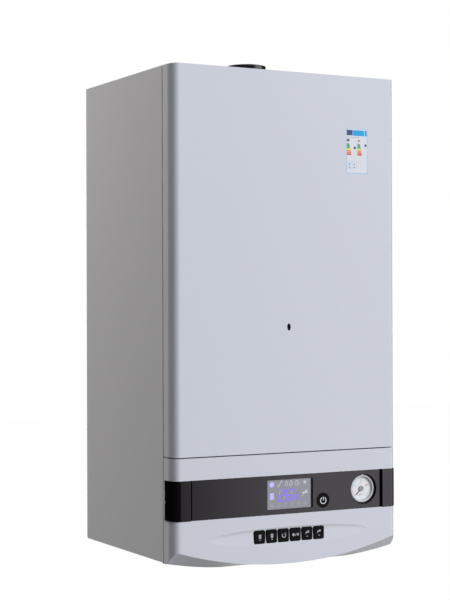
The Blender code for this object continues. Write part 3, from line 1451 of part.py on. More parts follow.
def build_fan():
    centre = (0, 0, FAN_Z)
    upright = (0, FLUE_Y, 0)
    housing = add_object("fan_housing", rod(FAN_RADIUS, FAN_FRONT_Y, FAN_BACK_Y, centre, "Y"))
    foot_top = FAN_BOTTOM + FAN_FOOT_THICKNESS
    join(
        housing,
        rod(FAN_NECK_RADIUS, FAN_Z, fan_top(), upright, "Z"),
        block(
            (-FAN_FOOT_HALF, FAN_FOOT_HALF),
            (FLUE_Y - FAN_FOOT_HALF, FLUE_Y + FAN_FOOT_HALF),
            (FAN_BOTTOM, foot_top),
        ),
    )
    airway = add_object("fan_airway", rod(
        FAN_RADIUS - FAN_WALL, FAN_FRONT_Y - OVERRUN, FAN_BACK_Y - FAN_WALL, centre, "Y"
    ))
    inlet = (-FAN_INLET_HALF, FAN_INLET_HALF)
    join(
        airway,
        rod(FAN_NECK_RADIUS - FAN_WALL, FAN_Z + FAN_WALL, fan_top() + OVERRUN, upright, "Z"),
        block(inlet, (FLUE_Y + inlet[0], FLUE_Y + inlet[1]), (FAN_BOTTOM - OVERRUN, FAN_Z - FAN_WALL)),
    )
    cut(housing, airway)
    finish(housing, "galvanised")
    wheel_front = FAN_FRONT_Y + WHEEL_SETBACK
    wheel_back = wheel_front + WHEEL_DEPTH
    seat = FAN_FRONT_Y - SEAT_GAP
    plate = seat - FAN_WALL
    plate_radius = FAN_RADIUS - FAN_WALL / 2 - 2 * SEAT_GAP
    motor = add_object("fan_motor", turned(
        [
            (0, plate - FAN_MOTOR_DEPTH), (FAN_MOTOR_RADIUS, plate - FAN_MOTOR_DEPTH),
            (FAN_MOTOR_RADIUS, plate),
            (plate_radius, plate), (plate_radius, seat), (SHAFT_RADIUS, seat),
            (SHAFT_RADIUS, wheel_back), (0, wheel_back),
        ],
        centre, "Y",
    ))
    finish(motor, "cast_aluminium")
    hole = SHAFT_RADIUS + SHAFT_PLAY
    disc = wheel_back - WHEEL_DISC
    wheel = add_object("fan_impeller", turned(
        [
            (hole, wheel_front), (IMPELLER_HUB, wheel_front), (IMPELLER_HUB, disc),
            (WHEEL_RADIUS, disc), (WHEEL_RADIUS, wheel_back), (hole, wheel_back),
        ],
        centre, "Y",
    ), (0, wheel_front, FAN_Z))
    join(wheel, bladed(
        WHEEL_BLADES, WHEEL_RADIUS - WHEEL_BLADE_REACH, WHEEL_RADIUS - WHEEL_DISC / 2, WHEEL_DISC,
        (0, FAN_Z), wheel_front, disc + WHEEL_DISC / 2,
    ))
    finish(wheel, "galvanised")


def build_vessel_and_switch():
    back = BACK_Y
    front = back - VESSEL_DEPTH
    seam = (back + front) / 2
    radius = HALF_WIDTH - VESSEL_INSET
    vessel = add_object("expansion_vessel", turned(
        [
            (0, back), (radius - VESSEL_EDGE, back), (radius, back - VESSEL_EDGE),
            (radius, seam + VESSEL_RIM / 2), (radius + VESSEL_RIM, seam + VESSEL_RIM / 2),
            (radius + VESSEL_RIM, seam - VESSEL_RIM / 2), (radius, seam - VESSEL_RIM / 2),
            (radius, front + VESSEL_EDGE), (radius - VESSEL_EDGE, front),
            (VESSEL_PORT_RADIUS, front), (VESSEL_PORT_RADIUS, front + VESSEL_WALL),
            (radius - VESSEL_EDGE, front + VESSEL_WALL),
            (radius - VESSEL_WALL, front + VESSEL_EDGE),
            (radius - VESSEL_WALL, back - VESSEL_EDGE),
            (radius - VESSEL_EDGE, back - VESSEL_WALL),
            (0, back - VESSEL_WALL),
        ],
        (0, 0, CASE_HEIGHT - VESSEL_DROP), "Y",
    ))
    finish(vessel, "red_steel")
    inner = INNER_HALF - SWITCH_DEPTH
    switch = add_object("air_pressure_switch", turned(
        [
            (0, INNER_HALF), (SWITCH_RADIUS, INNER_HALF), (SWITCH_RADIUS, inner),
            (NIPPLE_RADIUS, inner), (NIPPLE_RADIUS, inner - NIPPLE_LENGTH), (0, inner - NIPPLE_LENGTH),
        ],
        (0, -SWITCH_SETBACK, CASE_HEIGHT - SWITCH_DROP), "X",
    ))
    finish(switch, "grey_plastic")


build_back_panel()
build_side_panel("left_side_panel", -1)
build_side_panel("right_side_panel", 1)
build_top_panel()
build_bottom_panel()
build_front_cover()
build_flue()
build_fascia()
build_band()
build_display()
build_keys()
build_power_button()
build_gauge()
build_control_box()
build_hinge("left", -1)
build_hinge("right", 1)
build_connections()
build_water_blocks()
build_knobs()
build_pump()
build_water_tubes()
build_gas_line()
build_combustion_stack()
build_fan()
build_vessel_and_switch()
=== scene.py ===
import json
import math
from contextlib import contextmanager

import bmesh
import bpy
from mathutils import Matrix, Vector


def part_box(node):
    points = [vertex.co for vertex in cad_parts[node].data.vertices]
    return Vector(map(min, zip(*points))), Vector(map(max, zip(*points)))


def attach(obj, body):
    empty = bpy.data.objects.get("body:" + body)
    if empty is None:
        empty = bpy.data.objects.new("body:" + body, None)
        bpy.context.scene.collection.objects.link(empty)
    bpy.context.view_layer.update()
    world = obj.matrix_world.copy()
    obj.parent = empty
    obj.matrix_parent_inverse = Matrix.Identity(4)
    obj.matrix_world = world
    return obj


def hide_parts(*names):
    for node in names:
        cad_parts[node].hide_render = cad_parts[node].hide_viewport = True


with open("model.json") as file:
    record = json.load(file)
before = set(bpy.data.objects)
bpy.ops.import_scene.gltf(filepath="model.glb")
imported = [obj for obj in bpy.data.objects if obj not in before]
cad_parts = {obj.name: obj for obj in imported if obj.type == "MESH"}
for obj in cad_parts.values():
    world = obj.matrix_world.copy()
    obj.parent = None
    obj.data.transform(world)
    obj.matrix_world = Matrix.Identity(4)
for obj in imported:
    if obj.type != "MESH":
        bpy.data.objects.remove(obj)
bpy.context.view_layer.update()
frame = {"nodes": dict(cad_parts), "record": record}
cad = frame["nodes"]
slot_of = {part["node"]: part["material_slot"] for part in frame["record"]["subparts"]}

MM = 0.001
HANG_HEIGHT = 680.0


def at(x, y, z):
    """A place given in millimetres, as the frame has it in metres."""
    return Vector((x, y, z - HANG_HEIGHT)) * MM


def span(node):
    """Both ends of a CAD node along X, Y and Z, in millimetres."""
    low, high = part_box(node)
    return [
        (round(low[axis] / MM + lift, 2), round(high[axis] / MM + lift, 2))
        for axis, lift in enumerate((0.0, 0.0, HANG_HEIGHT))
    ]


def centre_of(ends):
    return (ends[0] + ends[1]) / 2


def half_of(ends):
    return (ends[1] - ends[0]) / 2


# How far a cutter stands out of what it cuts, and the play round a piece that moves
BEYOND, PLAY = 2.0, 0.3

# Case, cover and control panel
(_, HALF_WIDTH), (FRONT, SHELL_REAR), (COVER_LOW, COVER_HIGH) = span("front_cover")
PANEL_LOW, PANEL_HIGH = span("control_fascia")[2]
COVER_WALL, PANEL_WALL = 1.2, 3.0
CORNER_ACROSS, CORNER_BACK = 12.0, 16.0
CORNER_TURN, CORNER_SEGMENTS = math.radians(75), 30
REAR_GROOVE, REAR_GROOVE_DEEP = 1.5, 0.9

# Lower edge of the control panel: in the front plane, and behind its chamfer
EDGE_RISE, EDGE_REACH, EDGE_CURVE = 28.7, 188.0, 2.05
REAR_EDGE_FLAT, REAR_EDGE_CURVE = 105.0, 1.6
CHAMFER_DEEP = 20.0

# Black band
(BAND_SPLIT, _), (_, CAP_REAR), (BAND_LOW, BAND_HIGH) = span("band_end_right")
STRIP_X, (STRIP_FRONT, STRIP_BACK), STRIP_Z = span("band_centre")

# Display: a pane behind the strip, with a raised field in the strip's window
PANE_X, (LCD_FRONT, PANE_BACK), PANE_Z = span("display_glass")
PANE_FRONT = STRIP_BACK + PLAY
PANE_LIP = 3.0
LCD_LEFT, LCD_RIGHT = PANE_X[0] + PANE_LIP, PANE_X[1] - PANE_LIP
LCD_LOW, LCD_HIGH = PANE_Z[0] + PANE_LIP, PANE_Z[1] - PANE_LIP

# Power button
POWER_ENDS_X, _, POWER_ENDS_Z = span("power_button")
POWER_X, POWER_Z = centre_of(POWER_ENDS_X), centre_of(POWER_ENDS_Z)
POWER_FLANGE = 1.8
POWER_RADIUS = half_of(POWER_ENDS_X) - POWER_FLANGE

# Pressure gauge
GAUGE_ENDS_X, (_, RING_BACK), GAUGE_ENDS_Z = span("gauge_bezel")
GAUGE_X, GAUGE_Z = centre_of(GAUGE_ENDS_X), centre_of(GAUGE_ENDS_Z)
GAUGE_HOLE = half_of(GAUGE_ENDS_X) + 0.6
DIAL_FACE = -308.9
DIAL_START, DIAL_SWEEP, DIAL_STEPS = 225, 270, 24

# Keys
KEY_ENDS_X, (KEY_CAD_FRONT, _), KEY_ENDS_Z = span("key_1")
KEY_FLANGE = 0.8
KEY_HALF_X, KEY_HALF_Z = half_of(KEY_ENDS_X) - KEY_FLANGE, half_of(KEY_ENDS_Z) - KEY_FLANGE
KEY_Z = centre_of(KEY_ENDS_Z)
KEY_FRONT = KEY_CAD_FRONT + 0.1
KEY_CORNER = 2.4

# Flue
_, FLUE_ENDS_Y, (FLUE_LOW, FLUE_TOP) = span("flue_spigot")
FLUE_Y, FLUE_RADIUS, FLUE_WALL = centre_of(FLUE_ENDS_Y), half_of(FLUE_ENDS_Y), 1.5


# Working on one piece at a time

def alone(piece):
    bpy.ops.object.select_all(action="DESELECT")
    piece.select_set(True)
    bpy.context.view_layer.objects.active = piece
    return piece


def settled(name):
    """The primitive just added, named, with its place put into its mesh."""
    piece = alone(bpy.context.object)
    piece.name = piece.data.name = name
    bpy.ops.object.transform_apply(location=True, rotation=True, scale=True)
    return piece


@contextmanager
def editing(piece, kind="FACE"):
    """Edit mode on one piece, which starts with all of it selected."""
    alone(piece)
    bpy.ops.object.mode_set(mode="EDIT")
    bpy.ops.mesh.select_mode(type=kind)
    bpy.ops.mesh.select_all(action="SELECT")
    yield
    bpy.ops.object.mode_set(mode="OBJECT")


def extrude(x, y, z):
    """Draw the selection out, in millimetres, while editing."""
    bpy.ops.mesh.extrude_region_move(TRANSFORM_OT_translate={"value": (x * MM, y * MM, z * MM)})


def pick_faces(piece, test):
    """Select only the faces for which test(middle in millimetres, normal) holds, while editing."""
    bpy.ops.mesh.select_all(action="DESELECT")
    mesh = bmesh.from_edit_mesh(piece.data)
    for face in mesh.faces:
        face.select_set(bool(test(face.calc_center_median() / MM, face.normal)))
    bmesh.update_edit_mesh(piece.data)


def pick_edges(piece, test):
    """Select only the edges for which test(middle in millimetres, direction) holds, while editing."""
    bpy.ops.mesh.select_all(action="DESELECT")
    mesh = bmesh.from_edit_mesh(piece.data)
    for edge in mesh.edges:
        ends = [corner.co for corner in edge.verts]
        edge.select_set(bool(test((ends[0] + ends[1]) / 2 / MM, (ends[1] - ends[0]).normalized())))
    bmesh.update_edit_mesh(piece.data)


def apply_modifier(piece, kind, **settings):
    step = piece.modifiers.new(kind.lower(), kind)
    for setting, value in settings.items():
        setattr(step, setting, value)
    alone(piece)
    bpy.ops.object.modifier_apply(modifier=step.name)
    return piece


def carve(piece, *tools, operation="DIFFERENCE"):
    """Cut other pieces out of this one, or join them to it, and delete them."""
    for tool in tools:
        apply_modifier(piece, "BOOLEAN", object=tool, operation=operation, solver="EXACT")
        bpy.data.objects.remove(tool)
    return piece


def smooth(piece, angle=35):
    alone(piece)
    bpy.ops.object.shade_smooth_by_angle(angle=math.radians(angle))
    return piece


def soften(piece, width=0.4, segments=2, crease=40):
    """Round the sharp edges a little and shade the rest smoothly, but for creases."""
    smooth(piece, crease)
    if width:
        apply_modifier(
            piece, "BEVEL", width=width * MM, segments=segments, limit_method="ANGLE",
            angle_limit=math.radians(32), harden_normals=True, use_clamp_overlap=True,
        )
    return piece


def soften_shell(piece, width):
    """Soften a piece with arc corners, whose flat faces stay flat to the eye."""
    soften(piece, width, crease=7.5)
    return apply_modifier(piece, "WEIGHTED_NORMAL", keep_sharp=True, weight=100)


def joined(name, pieces):
    """Several pieces made one mesh."""
    alone(pieces[0])
    for piece in pieces:
        piece.select_set(True)
    bpy.ops.object.join()
    piece = bpy.context.object
    piece.name = piece.data.name = name
    return piece


def outward(piece):
    """Turn every face of a closed piece outwards."""
    with editing(piece):
        bpy.ops.mesh.remove_doubles(threshold=0.00001)
        bpy.ops.mesh.normals_make_consistent(inside=False)
    return piece


def box(name, x, y, z):
    """A box between two ends along X, Y and Z."""
    low, high = at(x[0], y[0], z[0]), at(x[1], y[1], z[1])
    size = Vector([abs(side) for side in high - low])
    bpy.ops.mesh.primitive_cube_add(size=1, location=(low + high) / 2, scale=size)
    return settled(name)


def rounded_box(name, x, y, z, corner):
    """A box whose four edges along Y are rounded."""
    piece = box(name, x, y, z)
    with editing(piece, "EDGE"):
        pick_edges(piece, lambda middle, run: abs(run.y) > 0.9)
        bpy.ops.mesh.bevel(offset=corner * MM, segments=6, affect="EDGES")
    return piece


TURNS = {"X": (0, math.pi / 2, 0), "Y": (math.pi / 2, 0, 0), "Z": (0, 0, 0)}
ALONG = {"X": Vector((1, 0, 0)), "Y": Vector((0, 1, 0)), "Z": Vector((0, 0, 1))}


def rod(name, centre, radius, low, high, axis="Y", steps=64):
    """A cylinder between two distances along its axis from centre."""
    middle = at(*centre) + ALONG[axis] * ((low + high) / 2 * MM)
    bpy.ops.mesh.primitive_cylinder_add(
        vertices=steps, radius=radius * MM, depth=abs(high - low) * MM, location=middle, rotation=TURNS[axis]
    )
    return settled(name)


def spun(name, centre, profile, axis="Y", steps=64, solid=True):
    """A circle drawn out through the (radius, distance along the axis) of a profile.

    A solid one keeps a flat face at each end; any other is a ring that is closed on itself."""
    origin, along = at(*centre), ALONG[axis]
    radius, start = profile[0]
    bpy.ops.mesh.primitive_circle_add(
        vertices=steps, radius=radius * MM, location=origin + along * start * MM, rotation=TURNS[axis],
        fill_type="NGON" if solid else "NOTHING",
    )
    piece = settled(name)
    with editing(piece, "FACE" if solid else "EDGE"):
        for wide, far in profile[1:]:
            extrude(*along * (far - start))
            ratio = wide / radius
            factors = [1 if along[index] else ratio for index in range(3)]
            bpy.ops.transform.resize(value=factors, center_override=origin)
            radius, start = wide, far
        if not solid:
            bpy.ops.mesh.select_all(action="DESELECT")
            bpy.ops.mesh.select_non_manifold(extend=False)
            bpy.ops.mesh.bridge_edge_loops()
    return outward(piece)


# Finishes

def maths(operation, swapped=False):
    """An operator of Socket that adds a Math node."""
    def combine(self, other):
        first, second = (other, self) if swapped else (self, other)
        return self.graph.node("ShaderNodeMath", {"operation": operation}, {0: first, 1: second})
    return combine


class Socket:
    """A value in a node tree, which takes part in sums as a number does."""

    def __init__(self, graph, output):
        self.graph, self.output = graph, output

    __add__, __radd__ = maths("ADD"), maths("ADD", swapped=True)
    __sub__, __rsub__ = maths("SUBTRACT"), maths("SUBTRACT", swapped=True)
    __mul__, __rmul__ = maths("MULTIPLY"), maths("MULTIPLY", swapped=True)
    __or__, at_most = maths("MAXIMUM"), maths("MINIMUM")

    def clamped(self):
        return self.at_most(1.0) | 0.0


class Graph:
    """A node tree that is being put together."""

    def __init__(self, tree):
        self.tree = tree

    def feed(self, socket, value):
        if isinstance(value, Socket):
            self.tree.links.new(value.output, socket)
        else:
            socket.default_value = value

    def node(self, kind, settings=None, inputs=None, output=0):
        made = self.tree.nodes.new(kind)
        for name, value in (settings or {}).items():
            setattr(made, name, value)
        for name, value in (inputs or {}).items():
            self.feed(made.inputs[name], value)
        return Socket(self, made.outputs[output] if made.outputs else None)

    def seen(self):
        """1 for what the camera sees, straight or by a reflection or through glass."""
        rays = self.node("ShaderNodeLightPath").output.node
        kinds = ("Is Camera Ray", "Is Glossy Ray", "Is Transmission Ray")
        camera, glossy, through = [Socket(self, rays.outputs[kind]) for kind in kinds]
        return camera | glossy | through


class Finish(Graph):
    """A Principled material that is being put together."""

    def __init__(self, name, colour, roughness, metallic=0.0, **constants):
        self.material = bpy.data.materials.new(name)
        self.material.use_nodes = True
        super().__init__(self.material.node_tree)
        self.shader = self.tree.nodes["Principled BSDF"]
        self.colour = (*colour, 1.0)
        self.roughness = roughness
        self.set(**{"Base Color": self.colour, "Roughness": roughness, "Metallic": metallic})
        self.set(**{name.replace("_", " ").title().replace("Ior", "IOR"): value
                    for name, value in constants.items()})

    def set(self, **inputs):
        for name, value in inputs.items():
            self.feed(self.shader.inputs[name], value)

    def place(self):
        return self.node("ShaderNodeTexCoord", output="Object")

    def axes(self):
        """X, Y and Z of the point, in metres."""
        parts = self.node("ShaderNodeSeparateXYZ", inputs={"Vector": self.place()}).output.node
        return [Socket(self, parts.outputs[index]) for index in range(3)]

    def noise(self, scale, detail=2.0, roughness=0.5, stretch=(1, 1, 1)):
        vector = self.node("ShaderNodeMapping", inputs={"Vector": self.place(), "Scale": stretch})
        return self.node("ShaderNodeTexNoise", inputs={
            "Vector": vector, "Scale": scale, "Detail": detail, "Roughness": roughness,
        })

    def cells(self, scale):
        inputs = {"Vector": self.place(), "Scale": scale}
        return self.node("ShaderNodeTexVoronoi", inputs=inputs, output="Color")

    def mix(self, factor, first, second):
        return self.node(
            "ShaderNodeMix", {"data_type": "RGBA"}, {"Factor": factor, 6: first, 7: second}, output=2
        )

    def shade(self, value, reach):
        """The base colour made darker or lighter by a value that is 0.5 on average."""
        dark = [channel * (1 - reach) for channel in self.colour[:3]] + [1.0]
        light = [channel * (1 + reach) for channel in self.colour[:3]] + [1.0]
        self.set(**{"Base Color": self.mix(value, dark, light)})

    def bump(self, height, distance):
        self.set(Normal=self.node("ShaderNodeBump", inputs={"Height": height, "Distance": distance}))


def paint(name, colour, roughness, peel=0.00002):
    """Baked enamel: a faint orange peel, with slight drifts of tone and gloss."""
    enamel = Finish(name, colour, roughness, coat_weight=0.15, coat_roughness=0.2)
    drift = enamel.noise(3.0, 3.0)
    fine = enamel.noise(60.0, 4.0)
    enamel.shade(drift * 0.7 + fine * 0.3, 0.030)
    enamel.set(Roughness=fine * 0.10 + (roughness - 0.05))
    enamel.bump(enamel.noise(520.0, 2.0) + enamel.noise(1900.0, 1.0) * 0.4, peel)
    return enamel.material


def moulded(name, colour, roughness, grain=0.00002, shine=0.5):
    """Moulded plastic with a fine eroded grain."""
    plastic = Finish(name, colour, roughness, specular_ior_level=shine)
    drift = plastic.noise(12.0, 3.0)
    grain_height = plastic.noise(1500.0, 2.0)
    plastic.shade(drift, 0.06)
    plastic.set(Roughness=drift * 0.08 + grain_height * 0.08 + (roughness - 0.08))
    plastic.bump(grain_height, grain)
    return plastic.material


def zinc(name, colour):
    """Zinc-coated sheet with a soft spangle."""
    sheet = Finish(name, colour, 0.42, 1.0)
    tone = sheet.node("ShaderNodeSeparateColor", inputs={"Color": sheet.cells(70.0)})
    cloud = sheet.noise(9.0, 4.0)
    sheet.shade(tone * 0.5 + cloud * 0.5, 0.16)
    sheet.set(Roughness=tone * 0.14 + cloud * 0.12 + 0.30)
    sheet.bump(sheet.noise(400.0, 3.0), 0.00002)
    return sheet.material


def brushed(name, colour, roughness):
    """Metal with fine lines along X."""
    metal = Finish(name, colour, roughness, 1.0)
    lines = metal.noise(90.0, 4.0, stretch=(1, 60, 60))
    cloud = metal.noise(14.0, 3.0)
    metal.shade(lines * 0.6 + cloud * 0.4, 0.14)
    metal.set(Roughness=lines * 0.18 + (roughness - 0.09))
    metal.bump(lines, 0.00001)
    return metal.material


def cast(name, colour, roughness):
    """Die-cast or forged metal with a slightly pitted skin."""
    metal = Finish(name, colour, roughness, 1.0)
    pits = metal.noise(700.0, 4.0)
    cloud = metal.noise(22.0, 4.0)
    metal.shade(cloud, 0.16)
    metal.set(Roughness=cloud * 0.2 + (roughness - 0.10))
    metal.bump(pits, 0.00006)
    return metal.material


def drawn_copper(name, colour, dark):
    """Copper or brass that has gone darker in patches."""
    metal = Finish(name, colour, 0.28, 1.0)
    patch = metal.noise(16.0, 5.0, 0.65)
    mask = ((patch - 0.45) * 4.0).clamped()
    metal.set(**{"Base Color": metal.mix(mask, (*dark, 1.0), metal.colour)})
    metal.set(Roughness=0.42 - mask * 0.16)
    metal.bump(metal.noise(300.0, 3.0), 0.00002)
    return metal.material


def gloss_black(name, colour, roughness, shine=0.5):
    """High-gloss black with faint wiping marks."""
    plastic = Finish(
        name, colour, roughness, specular_ior_level=shine, coat_weight=0.25, coat_roughness=0.08
    )
    marks = plastic.noise(35.0, 4.0, 0.6)
    plastic.shade(marks, 0.10)
    plastic.set(Roughness=marks * 0.12 + (roughness - 0.05))
    plastic.bump(plastic.noise(1400.0, 1.0), 0.000004)
    return plastic.material


def tinted_glass(name, colour, roughness, alpha):
    glass = Finish(name, colour, roughness, coat_weight=0.5, coat_roughness=0.03)
    smear = glass.noise(40.0, 3.0)
    glass.shade(smear, 0.04)
    glass.set(Roughness=smear * 0.06 + roughness, Alpha=smear * 0.04 + (alpha - 0.02))
    return glass.material


def printed(name, glow=0.0):
    """Ink that takes its colour from the piece's own Ink attribute."""
    ink = Finish(name, (0.5, 0.5, 0.5), 0.45)
    colour = ink.node("ShaderNodeAttribute", {"attribute_name": "Ink"}, output="Color")
    speck = ink.noise(900.0, 2.0)
    darker = ink.node(
        "ShaderNodeVectorMath", {"operation": "SCALE"}, {0: colour, "Scale": speck * 0.10 + 0.95}
    )
    ink.set(**{"Base Color": darker, "Roughness": speck * 0.1 + 0.40})
    if glow:
        ink.set(**{"Emission Color": darker, "Emission Strength": glow})
    return ink.material


FINISHES = {
    "cover_paint": paint("cover_enamel", (0.600, 0.615, 0.672), 0.36),
    "case_paint": paint("case_enamel", (0.600, 0.608, 0.655), 0.40),
    "panel_plastic": paint("panel_lacquer", (0.600, 0.612, 0.664), 0.34, 0.00001),
    "black_gloss": gloss_black("black_lens", (0.0055, 0.0045, 0.0055), 0.12),
    "black_plastic": moulded("black_mouldings", (0.010, 0.010, 0.011), 0.34),
    "black_keys": moulded("black_key_rubber", (0.0050, 0.0045, 0.0055), 0.50, 0.00001, shine=0.08),
    "flue_enamel": gloss_black("black_enamel", (0.012, 0.012, 0.014), 0.16, shine=1.0),
    "smoked_glass": tinted_glass("display_pane", (0.26, 0.26, 0.30), 0.10, 1.0),
    "clear_glass": tinted_glass("gauge_pane", (0.95, 0.96, 0.97), 0.02, 0.05),
    "dial_white": moulded("dial_card", (0.78, 0.78, 0.79), 0.5, 0.000001),
    "bezel_white": moulded("bezel_ring", (0.56, 0.56, 0.59), 0.30, 0.000001),
    "steel": brushed("stainless_steel", (0.56, 0.57, 0.58), 0.32),
    "galvanised": zinc("galvanised_sheet", (0.44, 0.45, 0.46)),
    "cast_aluminium": cast("cast_aluminium", (0.58, 0.59, 0.60), 0.42),
    "copper": drawn_copper("copper_tube", (0.80, 0.42, 0.28), (0.42, 0.20, 0.12)),
    "brass": drawn_copper("brass_fittings", (0.76, 0.58, 0.28), (0.42, 0.30, 0.14)),
    "red_steel": paint("red_enamel", (0.42, 0.030, 0.022), 0.40),
    "grey_plastic": moulded("grey_mouldings", (0.16, 0.165, 0.17), 0.48),
    "hub_grey": moulded("needle_hub", (0.26, 0.255, 0.30), 0.45, 0.000005),
    "green_board": moulded("circuit_board", (0.020, 0.130, 0.050), 0.42, 0.00001),
    "ceramic": moulded("glazed_ceramic", (0.82, 0.79, 0.72), 0.22, 0.000004),
    "blue_plastic": moulded("blue_mouldings", (0.025, 0.090, 0.380), 0.42),
    "red_plastic": moulded("red_mouldings", (0.520, 0.028, 0.018), 0.42),
    "printed": printed("printed_ink"),
    "lit": printed("lit_segments", glow=0.30),
}

BODY_OF = {
    node: body for body, members in frame["record"]["behaviour"]["bodies"].items() for node in members
}


def fit(piece, node, finish=None, stands_for=()):
    """Give a piece its finish, let it ride with the body of a CAD node, and let it stand for CAD nodes."""
    piece.data.materials.clear()
    piece.data.materials.append(FINISHES[finish or slot_of[node]])
    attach(piece, BODY_OF[node])
    if stands_for:
        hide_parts(*stands_for)
    return piece


# Casing and front

def shell_block(name, low, high, grow=0.0, rear=SHELL_REAR):
    """A block as wide as the case, whose front corners are arcs that meet the sides at a crease."""
    wide = CORNER_ACROSS / math.sin(CORNER_TURN) + grow
    deep = CORNER_BACK / (1 - math.cos(CORNER_TURN)) + grow
    front, across = FRONT - grow, HALF_WIDTH - CORNER_ACROSS + wide
    piece = box(name, (-across, across), (front, front + 2 * deep), (low, high))
    pivot = at(0, front, low)
    with editing(piece, "EDGE"):
        bpy.ops.transform.resize(value=(1, wide / deep, 1), center_override=pivot)
        pick_edges(piece, lambda middle, run: abs(run.z) > 0.9 and middle.y < front + 0.01)
        bpy.ops.mesh.bevel(
            offset=wide * MM, segments=CORNER_SEGMENTS, affect="EDGES", clamp_overlap=False
        )
        bpy.ops.mesh.select_all(action="SELECT")
        bpy.ops.transform.resize(value=(1, deep / wide, 1), center_override=pivot)
    side = HALF_WIDTH + grow
    limits = box("shell_limits", (-side, side), (front - 1, rear), (low - 1, high + 1))
    return carve(piece, limits, operation="INTERSECT")


def rear_grooves(low, high):
    """Cutters for the dark line between the front's sides and the casing behind them."""
    return [
        box(
            "rear_groove", (side * (HALF_WIDTH - REAR_GROOVE_DEEP), side * (HALF_WIDTH + 1)),
            (SHELL_REAR - REAR_GROOVE, SHELL_REAR + 1), (low - 1, high + 1),
        )
        for side in (-1, 1)
    ]


def hollowed(piece, wall):
    """Open the rear and give what is left a wall that grows inwards."""
    with editing(piece):
        pick_faces(piece, lambda middle, normal: normal.y > 0.9 and middle.y > SHELL_REAR - 0.5)
        bpy.ops.mesh.delete(type="FACE")
    return apply_modifier(piece, "SOLIDIFY", thickness=wall * MM, offset=-1, use_even_offset=True)


def oval(name, x, y, z):
    """An elliptical plug between two ends along X, Y and Z."""
    middle = (centre_of(x), 0, centre_of(z))
    piece = rod(name, middle, 1.0, *y)
    with editing(piece):
        bpy.ops.transform.resize(value=(half_of(x), 1, half_of(z)), center_override=at(*middle))
    return piece


def make_cover():
    """The front cover, and the pane behind its oval sight hole, drawn opaque black as painted shade for the
    dark inside.
    """
    cover = carve(shell_block("cover_shell", COVER_LOW, COVER_HIGH), *rear_grooves(COVER_LOW, COVER_HIGH))
    hollowed(cover, COVER_WALL)
    x, y, z = span("sight_glass")
    lip = 3.0
    hole = (x[0] + lip, x[1] - lip), (FRONT - 1, FRONT + 4), (z[0] + lip, z[1] - lip)
    carve(cover, oval("sight_hole", *hole))
    fit(soften_shell(cover, 0.5), "front_cover", stands_for=["front_cover"])
    # Painted shade: the sight glass is drawn as an opaque black pane, standing for the dark inside seen
    # through it
    pane = oval("sight_painted_shade", x, y, z)
    fit(soften(pane, 0.3), "sight_glass", "black_keys", ["sight_glass"])


def edge_heights(x):
    """Lower edge in the front plane, and behind the chamfer, at a distance from the middle."""
    front = PANEL_LOW + EDGE_RISE * (abs(x) / EDGE_REACH) ** EDGE_CURVE
    reach = max(0.0, abs(x) - REAR_EDGE_FLAT) / (HALF_WIDTH - REAR_EDGE_FLAT)
    return front, PANEL_LOW * (1 - reach ** REAR_EDGE_CURVE)


def make_underside_tool():
    """All that lies below the control panel's lower edge and its chamfer."""
    limit, ahead = HALF_WIDTH + 4, 4.0
    bpy.ops.mesh.primitive_grid_add(x_subdivisions=96, y_subdivisions=2, size=1, location=at(0, 0, 0))
    tool = settled("underside_tool")
    lines = {-1: FRONT - ahead, 0: FRONT + CHAMFER_DEEP, 1: SHELL_REAR + 8}
    for corner in tool.data.vertices:
        line = round(2 * corner.co.y)
        x = 2 * corner.co.x * limit
        front, rear = edge_heights(x)
        slope = (front - rear) / CHAMFER_DEEP
        corner.co = at(x, lines[line], rear if line >= 0 else rear + slope * (CHAMFER_DEEP + ahead))
    with editing(tool):
        extrude(0, 0, -60)
    return outward(tool)


def make_spoon_tool():
    """The hollow round the keys: an ellipse, deepest just below its upper edge, that fades out downwards."""
    half_long, middle, rise, fall = 141.0, 33.0, 12.0, 15.5
    depth, wall, fade = 2.2, 3.4, 0.93
    bpy.ops.mesh.primitive_grid_add(x_subdivisions=120, y_subdivisions=30, size=1, location=at(0, 0, 0))
    tool = settled("spoon_tool")
    for corner in tool.data.vertices:
        across, share = corner.co.x * 1.998, (0.5 - corner.co.y) ** 2
        round_off = math.sqrt(1 - across ** 2)
        drop = (rise + fall) * round_off * share
        floor = depth * (1 - fade * share) * min(1, 1.4 * round_off)
        deep = floor * (1 - math.exp(-(drop / wall) ** 1.5))
        corner.co = at(half_long * across, FRONT - 0.03 + deep, middle + rise * round_off - drop)
    with editing(tool):
        extrude(0, -3, 0)
    return outward(tool)


def key_places():
    """Number and middle of each key, from left to right."""
    return [(number, centre_of(span(f"key_{number}")[0])) for number in range(1, 7)]


def make_panel():
    """The control panel's front: an open shell with the band's window, the hollow and the key holes."""
    panel = shell_block("panel_shell", PANEL_LOW - 4, PANEL_HIGH)
    carve(panel, make_underside_tool(), *rear_grooves(PANEL_LOW, PANEL_HIGH))
    hollowed(panel, PANEL_WALL)
    through = (FRONT - BEYOND, FRONT + PANEL_WALL + BEYOND)
    window = box("band_window", (-BAND_SPLIT - 3, BAND_SPLIT + 3), through, (BAND_LOW, BAND_HIGH))
    half_x, half_z = KEY_HALF_X + PLAY, KEY_HALF_Z + PLAY
    holes = [
        rounded_box(
            "key_hole", (x - half_x, x + half_x), through, (KEY_Z - half_z, KEY_Z + half_z), KEY_CORNER + PLAY
        )
        for _, x in key_places()
    ]
    carve(panel, window, make_spoon_tool(), *holes)
    fit(soften_shell(panel, 0.5), "control_fascia", stands_for=["control_fascia"])


